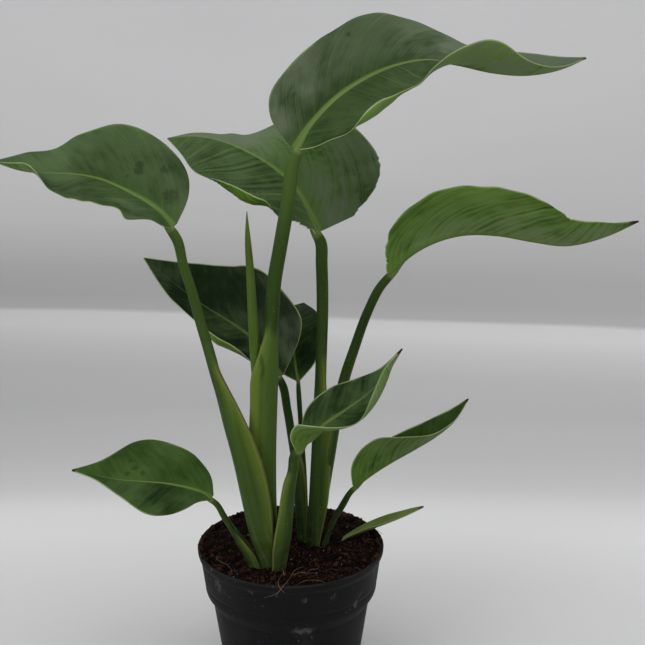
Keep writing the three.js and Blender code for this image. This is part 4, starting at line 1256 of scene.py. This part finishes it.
# Thin roots on the soil in front, as points in millimetres. The longest hangs over the lip.
rootPaths = [
    [(13, -42, 132), (9.3, -49.4, 135), (5, -57, 136.5), (2, -67, 136), (-1.7, -80, 136.5), (-5, -86, 135.5),
     (-8.5, -87.3, 131), (-14.5, -86.2, 127.2), (-18, -85, 126)],
    [(-13, -45, 132), (-10.5, -48.1, 135), (-5.9, -54.2, 136), (-4.1, -60, 132.5)],
    [(-2, -56, 132), (-5.2, -61.1, 135), (-8, -72, 136), (-8.5, -83, 136.4), (-6.5, -86.6, 134),
     (-3, -86.8, 130.5)],
    [(0, -66, 133), (4.2, -63.5, 135.5), (11.6, -60, 136), (18.2, -62.2, 136.2), (22.5, -61.1, 136),
     (25.8, -67, 132)],
    [(31, -54, 132), (35.6, -52, 135), (39.9, -53, 135.5), (43.1, -61, 132)],
    [(6, -78, 132.5), (12.3, -75, 135), (18.3, -72.7, 135.2), (27, -73, 134.5), (31, -71, 132)],
    [(21, -40, 132), (26, -46, 135), (24, -52, 135.2), (19, -51, 134), (14, -56, 132)],
    [(70, 10, 133), (76, 4, 136.5), (80, -4, 137), (83.5, -9, 136.4)],
    [(66, 30, 133), (73, 27, 137), (80, 22, 137.2), (84.5, 18, 135.8)],
    [(-62, -22, 132), (-66, -30, 135), (-62, -38, 135.5), (-55, -42, 134), (-50, -50, 132)],
]
rootLook = {"Radius": 0.18 * mm, "steps": 30, "sides": 7, "blur": 20}


def makeRoots():
    edges, points = [], []
    for path in rootPaths:
        first = len(points)
        edges += [(first + i, first + i + 1) for i in range(rootLook["steps"])]
        points += [*Track(path, rootLook["blur"]).at(np.linspace(0, 1, rootLook["steps"] + 1))]
    piece = newPiece("thinRoots", points, edges)
    tree = Growth("rootTubes", {"Radius": rootLook["Radius"], "Material": litterFinishes["rootTan"]})
    lines = tree.node("GeometryNodeMeshToCurve", {"Mesh": tree.given("Geometry")})
    tree.bake(piece, tree.tube(lines, rootLook["sides"], "Radius"))
    piece.data.shade_smooth()
    dress(piece)


makeRoots()
print("soil filled")

# A round studio: a pale sheet for a floor, which curves up into a wall all the way round.
# tones: how light it is painted at each share of the way out, painted light and shade of the lamps' falloff and
# of a fold.
studio = {
    "floorRadius": 2.3, "wallRadius": 3.4, "wallTop": 3.4, "sides": 128, "floorRings": 40, "curveRings": 16,
    "folds": 0.004, "air": 0.75, "shine": 0.05, "folded": ((0.7, 3, 1), 3, 0.5),
    "creaseShade": ((0.36, 0.36, 0.365), 0.25), "aside": ((0.58, 0.58, 0.585), 1),
    "tones": [
        (0, 0.54), (0.045, 0.57), (0.08, 0.64), (0.095, 0.62), (0.115, 0.51), (0.14, 0.45), (0.19, 0.41),
        (0.235, 0.44), (0.275, 0.52), (0.3, 0.59), (0.324, 0.59), (0.332, 0.41), (0.36, 0.39), (0.42, 0.42),
        (0.4625, 0.472), (0.51, 0.525), (0.565, 0.585), (0.64, 0.61), (0.85, 0.73),
    ],
    "lights": {
        "overhead": {"at": (-0.3, -0.4, 2.5), "aim": (0, 0, 0.35), "size": 3, "power": 34},
        "frontLeft": {"at": (-1.9, -2, 1.7), "aim": (0, 0, 0.35), "size": 1.4, "power": 20},
        "right": {"at": (2.2, -0.6, 1.6), "aim": (0, 0, 0.4), "size": 1.4, "power": 12},
    },
}


def sheetFinish():
    finish = Finish("paleSheet", studio)
    x, y, z = (finish.part(finish.place, axis) for axis in range(3))
    # The lightness of the sheet is painted: it falls off away from the middle, has a dark band at the fold and
    # shifts from left to right, as painted light and shade.
    long = finish.join(x * 0.35, y + x * y.rise(0.3, 1.3) * 0.13, z)
    far = finish.node("ShaderNodeVectorMath", {0: long}, 1, operation="LENGTH")
    (creaseShade,) = finish.noises("folded")
    tone = finish.node("ShaderNodeValToRGB", {0: (far + creaseShade.swing(0.12)) * 0.25})
    elements = tone.socket.node.color_ramp.elements
    while len(elements) < len(studio["tones"]):
        elements.new(0.5)
    for element, (place, level) in zip(elements, studio["tones"]):
        element.position = place
        element.color = (level, level, level * 1.01, 1)
    rightwards = 1 + x * (y.rise(0, 0.45) * 0.12 - y.rise(1.2, 2) * 0.14)
    finish.colour = finish.stretch(tone, rightwards)
    # Painted shade in the creases of the sheet.
    finish.lay("creaseShade", creaseShade - 0.3)
    finish.lay("aside", x.do("ABSOLUTE").rise(1.25, 2).do("MAXIMUM", (0 - y).rise(0.15, 0.9)))
    return finish.done(0.9)


def makeSheet():
    inner, depth = studio["floorRadius"], studio["wallRadius"] - studio["floorRadius"]
    flat, curved, sides = studio["floorRings"], studio["curveRings"], studio["sides"]
    outline = [(inner * (k / flat) ** 1.5, 0) for k in range(1, flat + 1)]
    for k in range(1, curved + 1):
        turn = math.pi / 2 * k / curved
        outline.append((inner + depth * math.sin(turn), depth * (1 - math.cos(turn))))
    outline.append((studio["wallRadius"], studio["wallTop"]))
    points = []
    for x, y, z in [(0, 0, 0), *ringPoints(outline, sides)]:
        fold = abs(noise.noise(Vector((x * 0.9, y * 3.1, 0.4)))) * smoothStep(math.hypot(x, y), 0.2, 0.6)
        points.append((x, y, z + studio["folds"] * fold))
    floor = newPiece("studioSheet", points, (), ringFaces(len(outline), sides), None, [sheetFinish()], 1)
    floor.data.shade_smooth()


def makeLights():
    world = bpy.data.worlds.new("studioAir")
    world.use_nodes = True
    background = world.node_tree.nodes["Background"].inputs
    background[0].default_value = (1, 1, 1, 1)
    background[1].default_value = studio["air"]
    bpy.context.scene.world = world
    for name, light in studio["lights"].items():
        data = bpy.data.lights.new(name, "AREA")
        data.size = light["size"]
        data.energy = light["power"]
        lamp = bpy.data.objects.new(name, data)
        lamp.location = light["at"]
        aim = Vector(light["aim"]) - Vector(light["at"])
        lamp.rotation_euler = aim.to_track_quat("-Z", "Y").to_euler()
        bpy.context.scene.collection.objects.link(lamp)


makeSheet()
makeLights()

cameraSetup = {"at": (0.029, -1.011, 0.619), "pitch": 15.2, "angle": 30}
cameraData = bpy.data.cameras.new("photoCamera")
cameraData.angle = math.radians(cameraSetup["angle"])
camera = bpy.data.objects.new("photoCamera", cameraData)
camera.location = cameraSetup["at"]
camera.rotation_euler = (math.radians(90 - cameraSetup["pitch"]), 0, 0)
bpy.context.scene.collection.objects.link(camera)
bpy.context.scene.camera = camera
bpy.context.scene.view_settings.view_transform = "Standard"
print("studio and camera ready")
